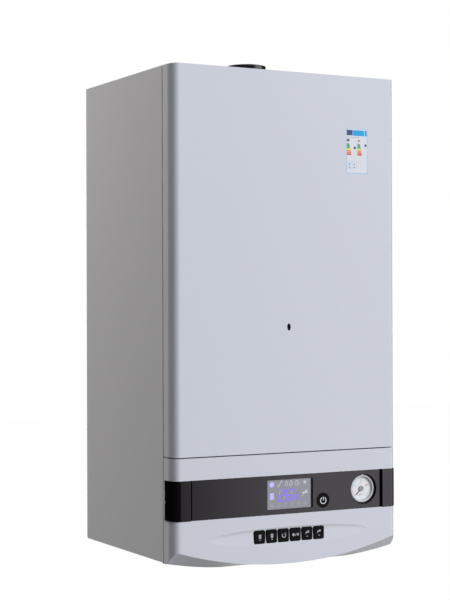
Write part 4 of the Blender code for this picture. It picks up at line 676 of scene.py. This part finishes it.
def make_strip():
    """The band's recessed middle, with its window and holes and a groove beside the left cap."""
    through = (STRIP_FRONT - BEYOND, STRIP_BACK + BEYOND)
    strip = box("band_strip", STRIP_X, (STRIP_FRONT, STRIP_BACK), STRIP_Z)
    carve(
        strip,
        rounded_box("lcd_window", (LCD_LEFT, LCD_RIGHT), through, (LCD_LOW, LCD_HIGH), 1.5),
        rod("power_hole", (POWER_X, 0, POWER_Z), POWER_RADIUS + PLAY, *through),
        rod("gauge_hole", (GAUGE_X, 0, GAUGE_Z), GAUGE_HOLE, *through, steps=96),
        box(
            "seam_groove", (-BAND_SPLIT - 1, -BAND_SPLIT + 4), (STRIP_FRONT - 1, STRIP_BACK - 0.8),
            (BAND_LOW - 5, BAND_HIGH + 5),
        ),
    )
    fit(soften(strip, 0.25), "band_centre", stands_for=["band_centre"])


def make_cap(side, node):
    """An end of the band, which wraps round the front's corner, with a lip beside the strip and a notch."""
    split = side * BAND_SPLIT
    cap = shell_block("cap_" + node[9:], BAND_LOW, BAND_HIGH, 1.2, CAP_REAR)
    carve(
        cap, shell_block("cap_core", BAND_LOW - 3, BAND_HIGH + 3, 0.3),
        box("cap_rest", (-side * 250, split), (-340, -270), (BAND_LOW - 3, BAND_HIGH + 3)),
    )
    lip = box("cap_lip", (split, split + side * 2.7), (-320.6, STRIP_FRONT - PLAY), (BAND_LOW, BAND_HIGH))
    carve(cap, lip, operation="UNION")
    carve(cap, rod("cap_notch", (0, CAP_REAR, 91.0), 2.0, side * 190, side * 204, "X", 24))
    fit(soften_shell(cap, 0.3), node, stands_for=[node])


# Marks: small flat shapes that carry their colour with them

def around(reach, turn):
    """X and Z at a clockwise turn from the top, at a distance from the middle."""
    return reach * math.sin(turn), reach * math.cos(turn)


def turned_about(middle, turn):
    """A turn round the line along Y through a place."""
    return Matrix.Translation(middle) @ Matrix.Rotation(turn, 4, "Y") @ Matrix.Translation(-middle)


def inked(piece, colour):
    layer = piece.data.color_attributes.new(name="Ink", type="FLOAT_COLOR", domain="CORNER")
    for corner in layer.data:
        corner.color = (*colour, 1.0)
    return piece


class Sheet:
    """Collects flat shapes that lie just in front of a face that looks towards -Y."""

    def __init__(self, x, front, z, thickness=0.06):
        self.x, self.front, self.z, self.thickness = x, front, z, thickness
        self.shapes = []

    def shape(self, x, z, wide, tall, colour, corners=4, turn=0.0, lean=0.0, lift=0.0):
        """A regular outline fitted into wide by tall, turned clockwise and leaning to the right."""
        start = math.pi / 4 if corners == 4 else 0.0
        reach = math.sqrt(0.5) if corners == 4 else 0.5
        middle = at(self.x + x, self.front - lift, self.z + z)
        bpy.ops.mesh.primitive_circle_add(
            vertices=corners, radius=reach, fill_type="NGON", location=middle,
            rotation=(math.pi / 2, start, 0),
        )
        piece = settled("mark")
        with editing(piece):
            bpy.ops.transform.resize(value=(wide * MM, 1, tall * MM), center_override=middle)
            extrude(0, -self.thickness, 0)
        for corner in piece.data.vertices:
            corner.co.x += (corner.co.z - middle.z) * lean
        if turn:
            piece.data.transform(turned_about(middle, turn))
        self.shapes.append(inked(outward(piece), colour))

    def ring(self, x, z, size, line, colour, corners=32, gap=0.0, towards=0.0, lift=0.0):
        """A flat ring; gap is half the angle left open, towards is its clockwise turn from the top."""
        middle = at(self.x + x, self.front - lift, self.z + z)
        bpy.ops.mesh.primitive_circle_add(
            vertices=corners, radius=size / 2 * MM, fill_type="NGON", location=middle,
            rotation=(math.pi / 2, 0, 0),
        )
        piece = settled("mark")
        with editing(piece):
            bpy.ops.mesh.inset(thickness=line * MM)
            bpy.ops.mesh.delete(type="FACE")
            if gap:
                spot = Vector(middle) / MM
                pick_faces(piece, lambda place, _: abs(math.remainder(
                    math.atan2(place.x - spot.x, place.z - spot.z) - towards, math.tau)) < gap)
                bpy.ops.mesh.delete(type="FACE")
            bpy.ops.mesh.select_all(action="SELECT")
            extrude(0, -self.thickness, 0)
        self.shapes.append(inked(outward(piece), colour))

    def done(self, name, node, finish="printed"):
        fit(joined(name, self.shapes), node, finish)


DIGIT_SEGMENTS = {
    "top": (0, 1.0, True), "middle": (0, 0.0, True), "bottom": (0, -1.0, True),
    "left_high": (-1, 0.5, False), "right_high": (1, 0.5, False),
    "left_low": (-1, -0.5, False), "right_low": (1, -0.5, False),
}
TWO = ("top", "right_high", "middle", "left_low", "bottom")
SIX = ("top", "left_high", "middle", "left_low", "right_low", "bottom")
EIGHT = tuple(DIGIT_SEGMENTS)
ZERO = ("top", "left_high", "right_high", "left_low", "right_low", "bottom")
ONE = ("right_high", "right_low")
THREE = ("top", "right_high", "middle", "right_low", "bottom")
FOUR = ("left_high", "middle", "right_high", "right_low")
UNIT_LETTERS = (
    ("left_high", "left_low", "middle", "bottom", "right_low"),
    ("top", "left_high", "right_high", "middle", "left_low", "right_low"),
    ("middle", "left_low"),
)


def digit(sheet, x, z, wide, tall, line, bars, colour):
    """Some bars of a seven-bar figure, leaning a little to the right."""
    lean = 0.07
    for bar in bars:
        across, up, flat = DIGIT_SEGMENTS[bar]
        middle_x = x + across * (wide - line) / 2 + up * (tall - line) / 2 * lean
        middle_z = z + up * (tall - line) / 2
        length = wide - line * 1.3 if flat else (tall - line) / 2 - line * 0.25
        bar_wide, bar_tall = (length, line) if flat else (line, length)
        sheet.shape(middle_x, middle_z, bar_wide, bar_tall, colour, lean=lean)
        for end in (-1, 1):
            reach = length / 2 * end
            tip_x, tip_z = (reach, 0) if flat else (reach * lean, reach)
            sheet.shape(
                middle_x + tip_x, middle_z + tip_z, line * 0.70, line * 0.70, colour, turn=math.pi / 4,
                lift=0.01,
            )


def star(sheet, x, z, size, line, colour, arms=6, hub=0.0):
    """Lines that cross in the middle, and a round hub if it has a size."""
    for arm in range(arms // 2):
        sheet.shape(x, z, line, size, colour, turn=math.pi * arm / (arms // 2), lift=0.01 * arm)
    if hub:
        sheet.shape(x, z, hub, hub, colour, corners=16, lift=0.05)


def flake(sheet, x, z, size, colour):
    """A full snow star: three bars, a ring across them and a bud at each tip."""
    star(sheet, x, z, size * 0.86, size * 0.15, colour)
    sheet.ring(x, z, size * 0.64, size * 0.13, colour, corners=6, lift=0.04)
    for arm in range(6):
        turn = math.pi * arm / 3
        across, up = around(size * 0.38, turn)
        sheet.shape(
            x + across, z + up, size * 0.30, size * 0.22, colour, corners=8, turn=turn, lift=0.05
        )


def radiator(sheet, x, z, wide, tall, colour, bars=4):
    """Upright bars joined by two cross bars."""
    pitch = wide / bars
    for bar in range(bars):
        sheet.shape(x + (bar - (bars - 1) / 2) * pitch, z, pitch * 0.72, tall, colour)
    for level in (-0.30, 0.30):
        sheet.shape(x, z + level * tall, wide, tall * 0.10, colour, lift=0.02)


def tap(sheet, x, z, size, colour):
    """A tap with its spout on the left, its handle above and a drop below the spout."""
    sheet.shape(x + size * 0.06, z + size * 0.14, size * 0.86, size * 0.24, colour)
    sheet.shape(x - size * 0.34, z + size * 0.02, size * 0.24, size * 0.36, colour, turn=0.3, lift=0.01)
    sheet.shape(x + size * 0.20, z + size * 0.32, size * 0.16, size * 0.24, colour, lift=0.01)
    sheet.shape(x + size * 0.22, z + size * 0.44, size * 0.50, size * 0.12, colour, turn=-0.15, lift=0.02)
    sheet.shape(x - size * 0.42, z - size * 0.34, size * 0.14, size * 0.20, colour, corners=8)


def flame(sheet, x, z, size, line, colour):
    """A drop-shaped outline: a ring that is open at the top, and two lines that lean together over it."""
    sheet.ring(x, z - size * 0.16, size * 0.68, line, colour, corners=24, gap=0.62)
    for side in (-1, 1):
        sheet.shape(
            x + side * size * 0.12, z + size * 0.27, line, size * 0.50, colour, turn=side * -0.48, lift=0.01
        )


LEFT_MARKS = -31.3
BIG_FIGURES = ((-13.6, TWO), (-0.9, SIX))
VIOLET = (0.23, 0.15, 0.98)
SMALL_VIOLET = (0.25, 0.17, 0.82)
LAVENDER = (0.48, 0.45, 0.84)
PALE = (0.66, 0.65, 0.70)
FAINT = (0.42, 0.41, 0.46)
UNLIT = (0.44, 0.42, 0.43)


def make_pane():
    """The display's pane with its raised field, and a black strip on the field's right that is painted shade:
    it stands for the shadow in the gap beside the window's wall.
    """
    pane = box("lcd_pane", PANE_X, (PANE_FRONT, PANE_BACK), PANE_Z)
    field = rounded_box(
        "lcd_field", (LCD_LEFT + 0.9, LCD_RIGHT - 2.4), (LCD_FRONT, PANE_BACK - 0.4),
        (LCD_LOW + 0.3, LCD_HIGH - 0.3), 1.3,
    )
    carve(pane, field, operation="UNION")
    fit(soften(pane, 0.2), "display_glass", stands_for=["display_glass"])
    # Painted shade: a black strip on the pane in the gap right of the raised field, where the window's wall
    # throws its shadow
    painted_shade_strip = box(
        "lcd_painted_shade_strip", (LCD_RIGHT - 2.3, LCD_RIGHT - 0.1), (LCD_FRONT - 0.1, PANE_FRONT - 0.1),
        (LCD_LOW + 0.1, LCD_HIGH - 0.1),
    )
    fit(soften(painted_shade_strip, 0.15), "display_glass", "black_plastic")


def lcd_sheet():
    return Sheet(centre_of(PANE_X), LCD_FRONT - 0.05, centre_of(PANE_Z), 0.05)


def make_lit_marks():
    """The figures with their unit, the snow star and the radiator."""
    lit = lcd_sheet()
    flake(lit, LEFT_MARKS, 15.5, 9.4, LAVENDER)
    radiator(lit, LEFT_MARKS, -2.4, 7.4, 9.8, LAVENDER)
    for x, bars in BIG_FIGURES:
        digit(lit, x, -1.9, 10.0, 18.0, 1.7, bars, VIOLET)
    for x, bars in ((8.1, EIGHT), (15.0, ZERO)):
        digit(lit, x, -5.8, 5.0, 7.8, 1.2, bars, SMALL_VIOLET)
    lit.ring(7.6, 6.4, 1.9, 0.6, VIOLET, corners=16)
    lit.ring(10.5, 4.2, 4.4, 1.1, VIOLET, corners=24, gap=0.8, towards=math.pi / 2)
    lit.done("lcd_lit_marks", "display_glass", "lit")


def make_dim_marks():
    """The bars that aren't lit, and the pale signs: spanner, flames, clock, sun, tap and a row of six."""
    dim = lcd_sheet()
    for x, bars in BIG_FIGURES:
        digit(dim, x, -1.9, 10.0, 18.0, 1.7, [bar for bar in EIGHT if bar not in bars], UNLIT)
    spanner_x, spanner_z, spanner_turn = -17.4, 16.0, 0.68
    dim.shape(spanner_x, spanner_z, 1.1, 8.2, PALE, turn=spanner_turn)
    for turn in (spanner_turn, spanner_turn + math.pi):
        across, up = around(5.2, turn)
        dim.ring(
            spanner_x + across, spanner_z + up, 2.9, 1.0, PALE, corners=16, gap=0.7, towards=turn
        )
    flame(dim, -5.5, 16.4, 7.6, 0.8, PALE)
    flame(dim, 2.4, 16.4, 8.4, 0.8, PALE)
    dim.ring(13.4, 16.2, 7.8, 0.7, PALE)
    dim.shape(13.4, 17.4, 0.7, 2.6, PALE)
    dim.shape(14.3, 16.2, 2.2, 0.7, PALE, lift=0.01)
    star(dim, 27.2, 16.7, 7.8, 0.7, PALE, arms=8, hub=3.4)
    tap(dim, 27.4, -0.6, 9.6, PALE)
    for index in range(6):
        x, z = LEFT_MARKS + 11.86 * index, -16.1 + 0.10 * index
        dim.ring(x, z, 7.4, 0.6, FAINT)
        star(dim, x, z, 4.6, 0.6, FAINT, arms=4 + 2 * (index % 2))
    dim.done("lcd_dim_marks", "display_glass")


def make_power_button():
    """A round button with a flange behind the strip and a bore at its back, and its ring and bar."""
    face, back, bore = STRIP_FRONT - 0.8, PANE_FRONT, 3.0
    button = spun("power_cap", (POWER_X, 0, POWER_Z), [
        (bore, back + 4.0), (bore, back + 1.2), (POWER_RADIUS + POWER_FLANGE - 0.2, back + 1.2),
        (POWER_RADIUS + POWER_FLANGE, back + 1.0), (POWER_RADIUS + POWER_FLANGE, back), (POWER_RADIUS, back),
        (POWER_RADIUS, face + 0.6), (POWER_RADIUS - 0.1, face + 0.3), (POWER_RADIUS - 0.3, face + 0.1),
        (POWER_RADIUS - 0.7, face), (POWER_RADIUS - 1.2, face),
    ], steps=72)
    fit(smooth(button), "power_button", "black_keys", ["power_button"])
    symbol = Sheet(POWER_X, face + 0.02, POWER_Z, 0.07)
    white, line = (0.70, 0.70, 0.72), 1.3
    symbol.ring(0, -0.4, 11.2, line, white, corners=48, gap=0.50)
    symbol.shape(0, 2.6, line, 5.8, white)
    symbol.done("power_symbol", "power_button")


def make_key(number, x):
    """A key with rounded corners, a flange behind the panel and a stem for its switch."""
    back, stem_half = STRIP_FRONT, 3.0
    flange_x, flange_z = KEY_HALF_X + KEY_FLANGE, KEY_HALF_Z + KEY_FLANGE
    key = rounded_box(
        f"key_cap_{number}", (x - KEY_HALF_X, x + KEY_HALF_X), (KEY_FRONT, back + 0.6),
        (KEY_Z - KEY_HALF_Z, KEY_Z + KEY_HALF_Z), KEY_CORNER,
    )
    soften(key, 1.0, 5)
    flange = box(
        "key_flange", (x - flange_x, x + flange_x), (back, back + 1.2), (KEY_Z - flange_z, KEY_Z + flange_z)
    )
    stem = box(
        "key_stem", (x - stem_half, x + stem_half), (back + 0.6, back + 7.2),
        (KEY_Z - stem_half, KEY_Z + stem_half),
    )
    carve(key, flange, stem, operation="UNION")
    fit(smooth(key), f"key_{number}", "black_keys", [f"key_{number}"])


def key_symbol(symbol, number, grey):
    """Heating down and up, an arrow that turns, summer or winter, water down and up."""
    if number < 3:
        radiator(symbol, 0, 0.9, 4.6, 6.2, grey, bars=3)
        symbol.shape(0, -4.3, 2.6, 0.8, grey)
    elif number == 3:
        symbol.ring(0, 0, 7.2, 1.2, grey, gap=0.6)
        symbol.shape(2.3, 2.9, 3.0, 3.0, grey, corners=3, turn=0.6)
    elif number == 4:
        flake(symbol, -3.9, -0.2, 5.4, grey)
        symbol.shape(-0.1, -0.2, 0.6, 5.0, grey, turn=0.35)
        star(symbol, 3.8, 0, 5.2, 0.6, grey, arms=8, hub=2.4)
    else:
        tap(symbol, 0, 1.2, 6.6, grey)
        symbol.shape(0, -4.2, 2.6, 0.8, grey)
    if number in (2, 6):
        symbol.shape(0, -4.3, 0.8, 2.6, grey, lift=0.02)


def make_keys():
    grey = (0.42, 0.42, 0.44)
    for number, x in key_places():
        make_key(number, x)
        symbol = Sheet(x, KEY_FRONT + 0.01, KEY_Z, 0.07)
        key_symbol(symbol, number, grey)
        symbol.done(f"key_symbol_{number}", f"key_{number}")


def make_gauge():
    """White ring with a tab, black surround, and the raised rim of the dial."""
    centre, back = (GAUGE_X, 0, GAUGE_Z), RING_BACK
    ring = spun("gauge_ring", centre, [
        (21.2, back), (21.2, back - 0.7), (21.0, back - 0.95), (20.6, back - 1.0), (19.9, back - 0.95),
        (19.2, back - 0.7), (18.7, back - 0.4), (18.5, back),
    ], steps=96, solid=False)
    fit(smooth(ring), "gauge_bezel", "bezel_white", ["gauge_bezel"])
    surround = spun("gauge_surround", centre, [
        (23.2, back), (23.2, back - 0.6), (23.0, back - 0.8), (21.5, back - 0.8), (21.4, back - 0.6),
        (21.4, back),
    ], steps=96, solid=False)
    fit(smooth(surround), "gauge_bezel", "black_plastic")
    tab = box(
        "gauge_tab", (GAUGE_X - 1.3, GAUGE_X + 1.3), (back - 1.3, back - 0.4),
        (GAUGE_Z + 20.4, GAUGE_Z + 23.0),
    )
    fit(soften(tab, 0.3), "gauge_bezel", "bezel_white")
    rim = spun("gauge_dial_rim", centre, [
        (20.6, DIAL_FACE), (20.6, DIAL_FACE - 2.0), (18.9, DIAL_FACE - 2.0), (18.6, DIAL_FACE - 1.9),
        (17.2, DIAL_FACE),
    ], steps=96, solid=False)
    fit(smooth(rim, 30), "gauge_dial", "bezel_white")


def make_dial_print():
    """Marks, a red and a blue band, a red bar, figures and the unit, as on the dial's card."""
    face = Sheet(GAUGE_X, DIAL_FACE, GAUGE_Z, 0.05)
    ink, red, blue = (0.22, 0.22, 0.24), (0.80, 0.20, 0.18), (0.36, 0.52, 0.84)
    for step in range(DIAL_STEPS + 1):
        turn = math.radians(DIAL_START + DIAL_SWEEP * step / DIAL_STEPS)
        line, size = (0.7, 3.2) if step % 6 == 0 else (0.4, 1.7)
        face.shape(*around(16.2 - size / 2, turn), line, size, ink, turn=turn)
    for start, end, reach, colour in ((228, 262, 15.9, red), (283, 325, 14.8, blue)):
        for step in range(10):
            turn = math.radians(start + (end - start) * (step + 0.5) / 10)
            face.shape(*around(reach, turn), 1.2, 0.6, colour, turn=turn, lift=0.02)
    turn = math.radians(63)
    face.shape(*around(12.0, turn), 0.9, 6.0, red, turn=turn, lift=0.02)
    for step, bars in enumerate((ZERO, ONE, TWO, THREE, FOUR)):
        turn = math.radians(DIAL_START + DIAL_SWEEP * step / 4)
        digit(face, *around(10.6, turn), 1.9, 3.2, 0.5, bars, ink)
    for bars, x in zip(UNIT_LETTERS, (-2.6, 0.0, 2.6)):
        digit(face, x, -9.6, 1.6, 2.6, 0.4, bars, ink)
    face.done("gauge_print", "gauge_dial")


def make_needle():
    """A slim tapered needle under a round hub, at rest on the dial's first mark."""
    centre, front, back = (GAUGE_X, 0, GAUGE_Z), -310.6, -310.2
    needle = box(
        "gauge_pointer", (GAUGE_X - 0.9, GAUGE_X + 0.9), (front, back), (GAUGE_Z - 2.0, GAUGE_Z + 14.3)
    )
    with editing(needle):
        pick_faces(needle, lambda middle, normal: normal.z > 0.9)
        bpy.ops.transform.resize(value=(0.35, 1, 1), center_override=at(GAUGE_X, front, GAUGE_Z))
    needle.data.transform(turned_about(at(*centre), math.radians(DIAL_START)))
    fit(smooth(needle), "gauge_needle", "black_plastic", ["gauge_needle"])
    hub = spun("gauge_hub", centre, [
        (1.0, back + 0.6), (4.3, back), (4.3, front - 0.1), (4.0, front - 0.4), (2.2, front - 0.45),
        (1.9, front - 0.35),
    ], steps=48)
    fit(smooth(hub, 40), "gauge_needle", "hub_grey")


def make_sticker():
    """A printed sticker without words: border, head, two scales of coloured bars and two small frames."""
    low, wide, tall = 587.7, 40.5, 70.9
    sheet = Sheet(104.3, FRONT, low, 0.06)
    white, sky, blue, navy = (0.70, 0.70, 0.74), (0.36, 0.56, 0.78), (0.03, 0.36, 0.70), (0.06, 0.08, 0.16)
    dark, grey = (0.07, 0.07, 0.08), (0.32, 0.31, 0.34)
    greens = [(0.16, 0.30, 0.20), (0.03, 0.34, 0.12), (0.05, 0.40, 0.16)]
    warm = [(0.80, 0.72, 0.03), (0.78, 0.28, 0.13), (0.76, 0.18, 0.10), (0.68, 0.10, 0.06)]

    def patch(left, top, right, bottom, colour, lift, **more):
        """A patch given by its ends, in millimetres from the sticker's upper left corner."""
        x, z = (left + right) / 2, tall - (top + bottom) / 2
        sheet.shape(x, z, right - left, bottom - top, colour, lift=lift, **more)

    patch(0, 0, wide, tall, white, 0.0)
    for left, top, right, bottom in (
        (0.2, 0.2, wide - 0.2, 1.2), (0.2, tall - 1.5, wide - 0.2, tall - 0.2),
        (0.2, 0.2, 1.4, tall - 0.2), (wide - 1.4, 0.2, wide - 0.2, tall - 0.2),
    ):
        patch(left, top, right, bottom, sky, 0.02)
    patch(1.5, 2.6, 12.4, 11.0, navy, 0.03)
    patch(13.2, 2.6, 38.6, 11.4, blue, 0.03)
    patch(33.6, 2.6, 34.6, 11.4, white, 0.05)
    patch(2.4, 13.4, 24.5, 14.1, grey, 0.03)
    patch(19.9, 17.5, 20.3, 44.0, sky, 0.03)
    patch(2.0, 16.6, 6.2, 20.4, dark, 0.03)
    patch(22.6, 17.6, 25.4, 20.6, dark, 0.03, corners=12)
    for left in (1.7, 21.3):
        for step, colour in enumerate(greens + warm):
            top = 23.6 + step * 2.66
            patch(left, top, left + 4.6 + step * 0.62, top + 2.36, colour, 0.03)
    patch(14.0, 28.2, 18.8, 32.4, dark, 0.03, corners=12)
    patch(34.0, 24.0, 38.4, 28.0, dark, 0.03, corners=12)
    for left in (2.6, 11.9):
        for start, top, end, bottom in (
            (0, 51.0, 7.6, 51.4), (0, 63.0, 7.6, 63.4), (0, 51.0, 0.4, 63.4), (7.2, 51.0, 7.6, 63.4),
        ):
            patch(left + start, top, left + end, bottom, sky, 0.03)
        patch(left + 2.4, 54.6, left + 5.0, 57.6, blue, 0.03, corners=8)
        patch(left + 1.6, 60.0, left + 5.6, 61.4, grey, 0.03)
    sheet.done("rating_sticker", "front_cover")


def make_flue():
    """The round socket on the top: a tube with a rolled rim."""
    outer, bore, top = FLUE_RADIUS, FLUE_RADIUS - FLUE_WALL, FLUE_TOP
    tube = spun("flue_tube", (0, FLUE_Y, 0), [
        (outer - 0.5, FLUE_LOW), (outer - 0.5, top - 9.0), (outer - 0.1, top - 8.0), (outer, top - 6.0),
        (outer, top - 0.9), (outer - 0.2, top - 0.3), (outer - 0.6, top),
        (bore + 0.4, top), (bore, top - 0.4), (bore, FLUE_LOW),
    ], "Z", 96, solid=False)
    fit(smooth(tube, 40), "flue_spigot", stands_for=["flue_spigot"])


# Inner pieces and sheet metal: the CAD shapes with softened edges

def dressed(node, width):
    """A merged copy of a CAD node with softened edges that stands for it."""
    source = cad[node]
    piece = bpy.data.objects.new(node + "_dressed", source.data.copy())
    piece.data.name = piece.name
    bpy.context.scene.collection.objects.link(piece)
    with editing(piece):
        bpy.ops.mesh.remove_doubles(threshold=0.000005)
        bpy.ops.mesh.dissolve_limited(angle_limit=math.radians(0.5))
    with editing(piece):
        bpy.ops.mesh.customdata_custom_splitnormals_clear()
    fit(soften(piece, width), node, stands_for=[node])


MODELLED = {
    "front_cover", "sight_glass", "control_fascia", "band_centre", "band_end_left", "band_end_right",
    "display_glass", "power_button", "gauge_bezel", "gauge_needle", "flue_spigot",
    *(f"key_{number}" for number, _ in key_places()),
}
THIN = {"gauge_lens", "gauge_dial"}

make_cover()
make_panel()
make_strip()
make_cap(-1, "band_end_left")
make_cap(1, "band_end_right")
make_pane()
make_lit_marks()
make_dim_marks()
make_power_button()
make_keys()
make_gauge()
make_dial_print()
make_needle()
make_sticker()
make_flue()
for name in cad:
    if name not in MODELLED:
        dressed(name, 0.0 if name in THIN else 0.25)


# Studio

AZIMUTH, PITCH, ROLL = math.radians(-28.263), math.radians(-0.275), math.radians(-0.185)
FOCAL_PIXELS, FRAME_PIXELS = 1546.33, 600
CAMERA_PLACE = at(-1204.8, -2354.7, 379.2)
OBJECT_MIDDLE = at(0, -160, 370)


def make_camera():
    """The photograph's view: where it stood, where it looked and its slight roll."""
    level = math.cos(PITCH)
    back = Vector((math.sin(AZIMUTH) * level, -math.cos(AZIMUTH) * level, math.sin(PITCH)))
    right = (-back).cross(Vector((0, 0, 1))).normalized()
    up = right.cross(-back)
    turned_right = right * math.cos(ROLL) + up * math.sin(ROLL)
    turned_up = up * math.cos(ROLL) - right * math.sin(ROLL)
    lens = bpy.data.cameras.new("camera")
    lens.sensor_width = 36.0
    lens.lens = FOCAL_PIXELS / FRAME_PIXELS * lens.sensor_width
    camera = bpy.data.objects.new("camera", lens)
    facing = Matrix((turned_right, turned_up, back)).transposed()
    camera.matrix_world = Matrix.Translation(CAMERA_PLACE) @ facing.to_4x4()
    bpy.context.scene.collection.objects.link(camera)
    bpy.context.scene.camera = camera


def make_lamp(name, azimuth, height, distance, width, tall, power, colour):
    """A soft rectangular lamp that looks at the middle of the object, its measures in metres."""
    angle = math.radians(azimuth)
    place = OBJECT_MIDDLE + Vector((math.sin(angle) * distance, -math.cos(angle) * distance, height))
    light = bpy.data.lights.new(name, "AREA")
    light.shape, light.size, light.size_y = "RECTANGLE", width, tall
    light.energy, light.color = power, colour
    lamp = bpy.data.objects.new(name, light)
    lamp.location = place
    lamp.rotation_euler = (OBJECT_MIDDLE - place).to_track_quat("-Z", "Y").to_euler()
    lamp.visible_glossy = False
    bpy.context.scene.collection.objects.link(lamp)


def make_world():
    """Soft white light from all round, and plain white for whatever is seen."""
    world = bpy.data.worlds.new("studio")
    bpy.context.scene.world = world
    world.use_nodes = True
    world.node_tree.nodes.clear()
    graph = Graph(world.node_tree)
    soft = graph.node("ShaderNodeBackground", inputs={"Color": (0.98, 0.99, 1.0, 1.0), "Strength": 0.22})
    white = graph.node("ShaderNodeBackground", inputs={"Color": (1.0, 1.0, 1.0, 1.0)})
    blend = graph.node("ShaderNodeMixShader", inputs={0: graph.seen(), 1: soft, 2: white})
    graph.node("ShaderNodeOutputWorld", inputs={"Surface": blend})


def make_floor():
    """A pale floor that is nearly as white as the background and still shows the object's shadow."""
    bpy.ops.mesh.primitive_plane_add(size=40, location=at(0, -160, -1300))
    floor = settled("floor")
    finish = Finish("floor_paint", (0.10, 0.10, 0.10), 0.8, specular_ior_level=0.0)
    finish.shade(finish.noise(2.0, 3.0), 0.01)
    bright = finish.node("ShaderNodeEmission", inputs={"Color": (1.0, 1.0, 1.0, 1.0), "Strength": 1.16})
    own = Socket(finish, finish.shader.outputs[0])
    blend = finish.node("ShaderNodeMixShader", inputs={0: finish.seen() * 0.85, 1: own, 2: bright})
    finish.tree.links.new(blend.output, finish.tree.nodes["Material Output"].inputs["Surface"])
    floor.data.materials.append(finish.material)


def make_card():
    """A dark curved card that only reflections see, with a pale patch that glossy fronts mirror.

    The patch brightens to the right, as the light in the photograph does."""
    bpy.ops.mesh.primitive_circle_add(vertices=144, radius=4.0, location=at(0, 0, -1200))
    card = settled("dark_card")
    with editing(card, "EDGE"):
        extrude(0, 0, 4600)
        pick_faces(card, lambda middle, _: not -165 < math.degrees(math.atan2(middle.x, -middle.y)) < 130)
        bpy.ops.mesh.delete(type="FACE")
    for kind in ("camera", "diffuse", "shadow", "transmission", "volume_scatter"):
        setattr(card, "visible_" + kind, False)
    finish = Finish("card_paint", (0.004, 0.004, 0.004), 0.9, specular_ior_level=0.0)
    finish.shade(finish.noise(2.0, 3.0), 0.05)
    x, y, _ = finish.axes()
    glow = ((x - 1.33) * 1.65).clamped() * ((-0.9 - y) * (1 / 0.6)).clamped()
    finish.set(**{
        "Emission Color": finish.mix(glow, (0, 0, 0, 1), (1.0, 0.955, 1.05, 1)), "Emission Strength": 1.30,
    })
    card.data.materials.append(finish.material)


bpy.context.scene.view_settings.view_transform = "Standard"
make_camera()
make_world()
make_lamp("key_lamp", 22, 3.9, 10.0, 4.4, 4.4, 1130, (0.95, 0.97, 1.0))
make_lamp("side_lamp", -150, 1.9, 2.4, 1.6, 1.6, 106, (1.0, 0.945, 0.87))
make_floor()
make_card()
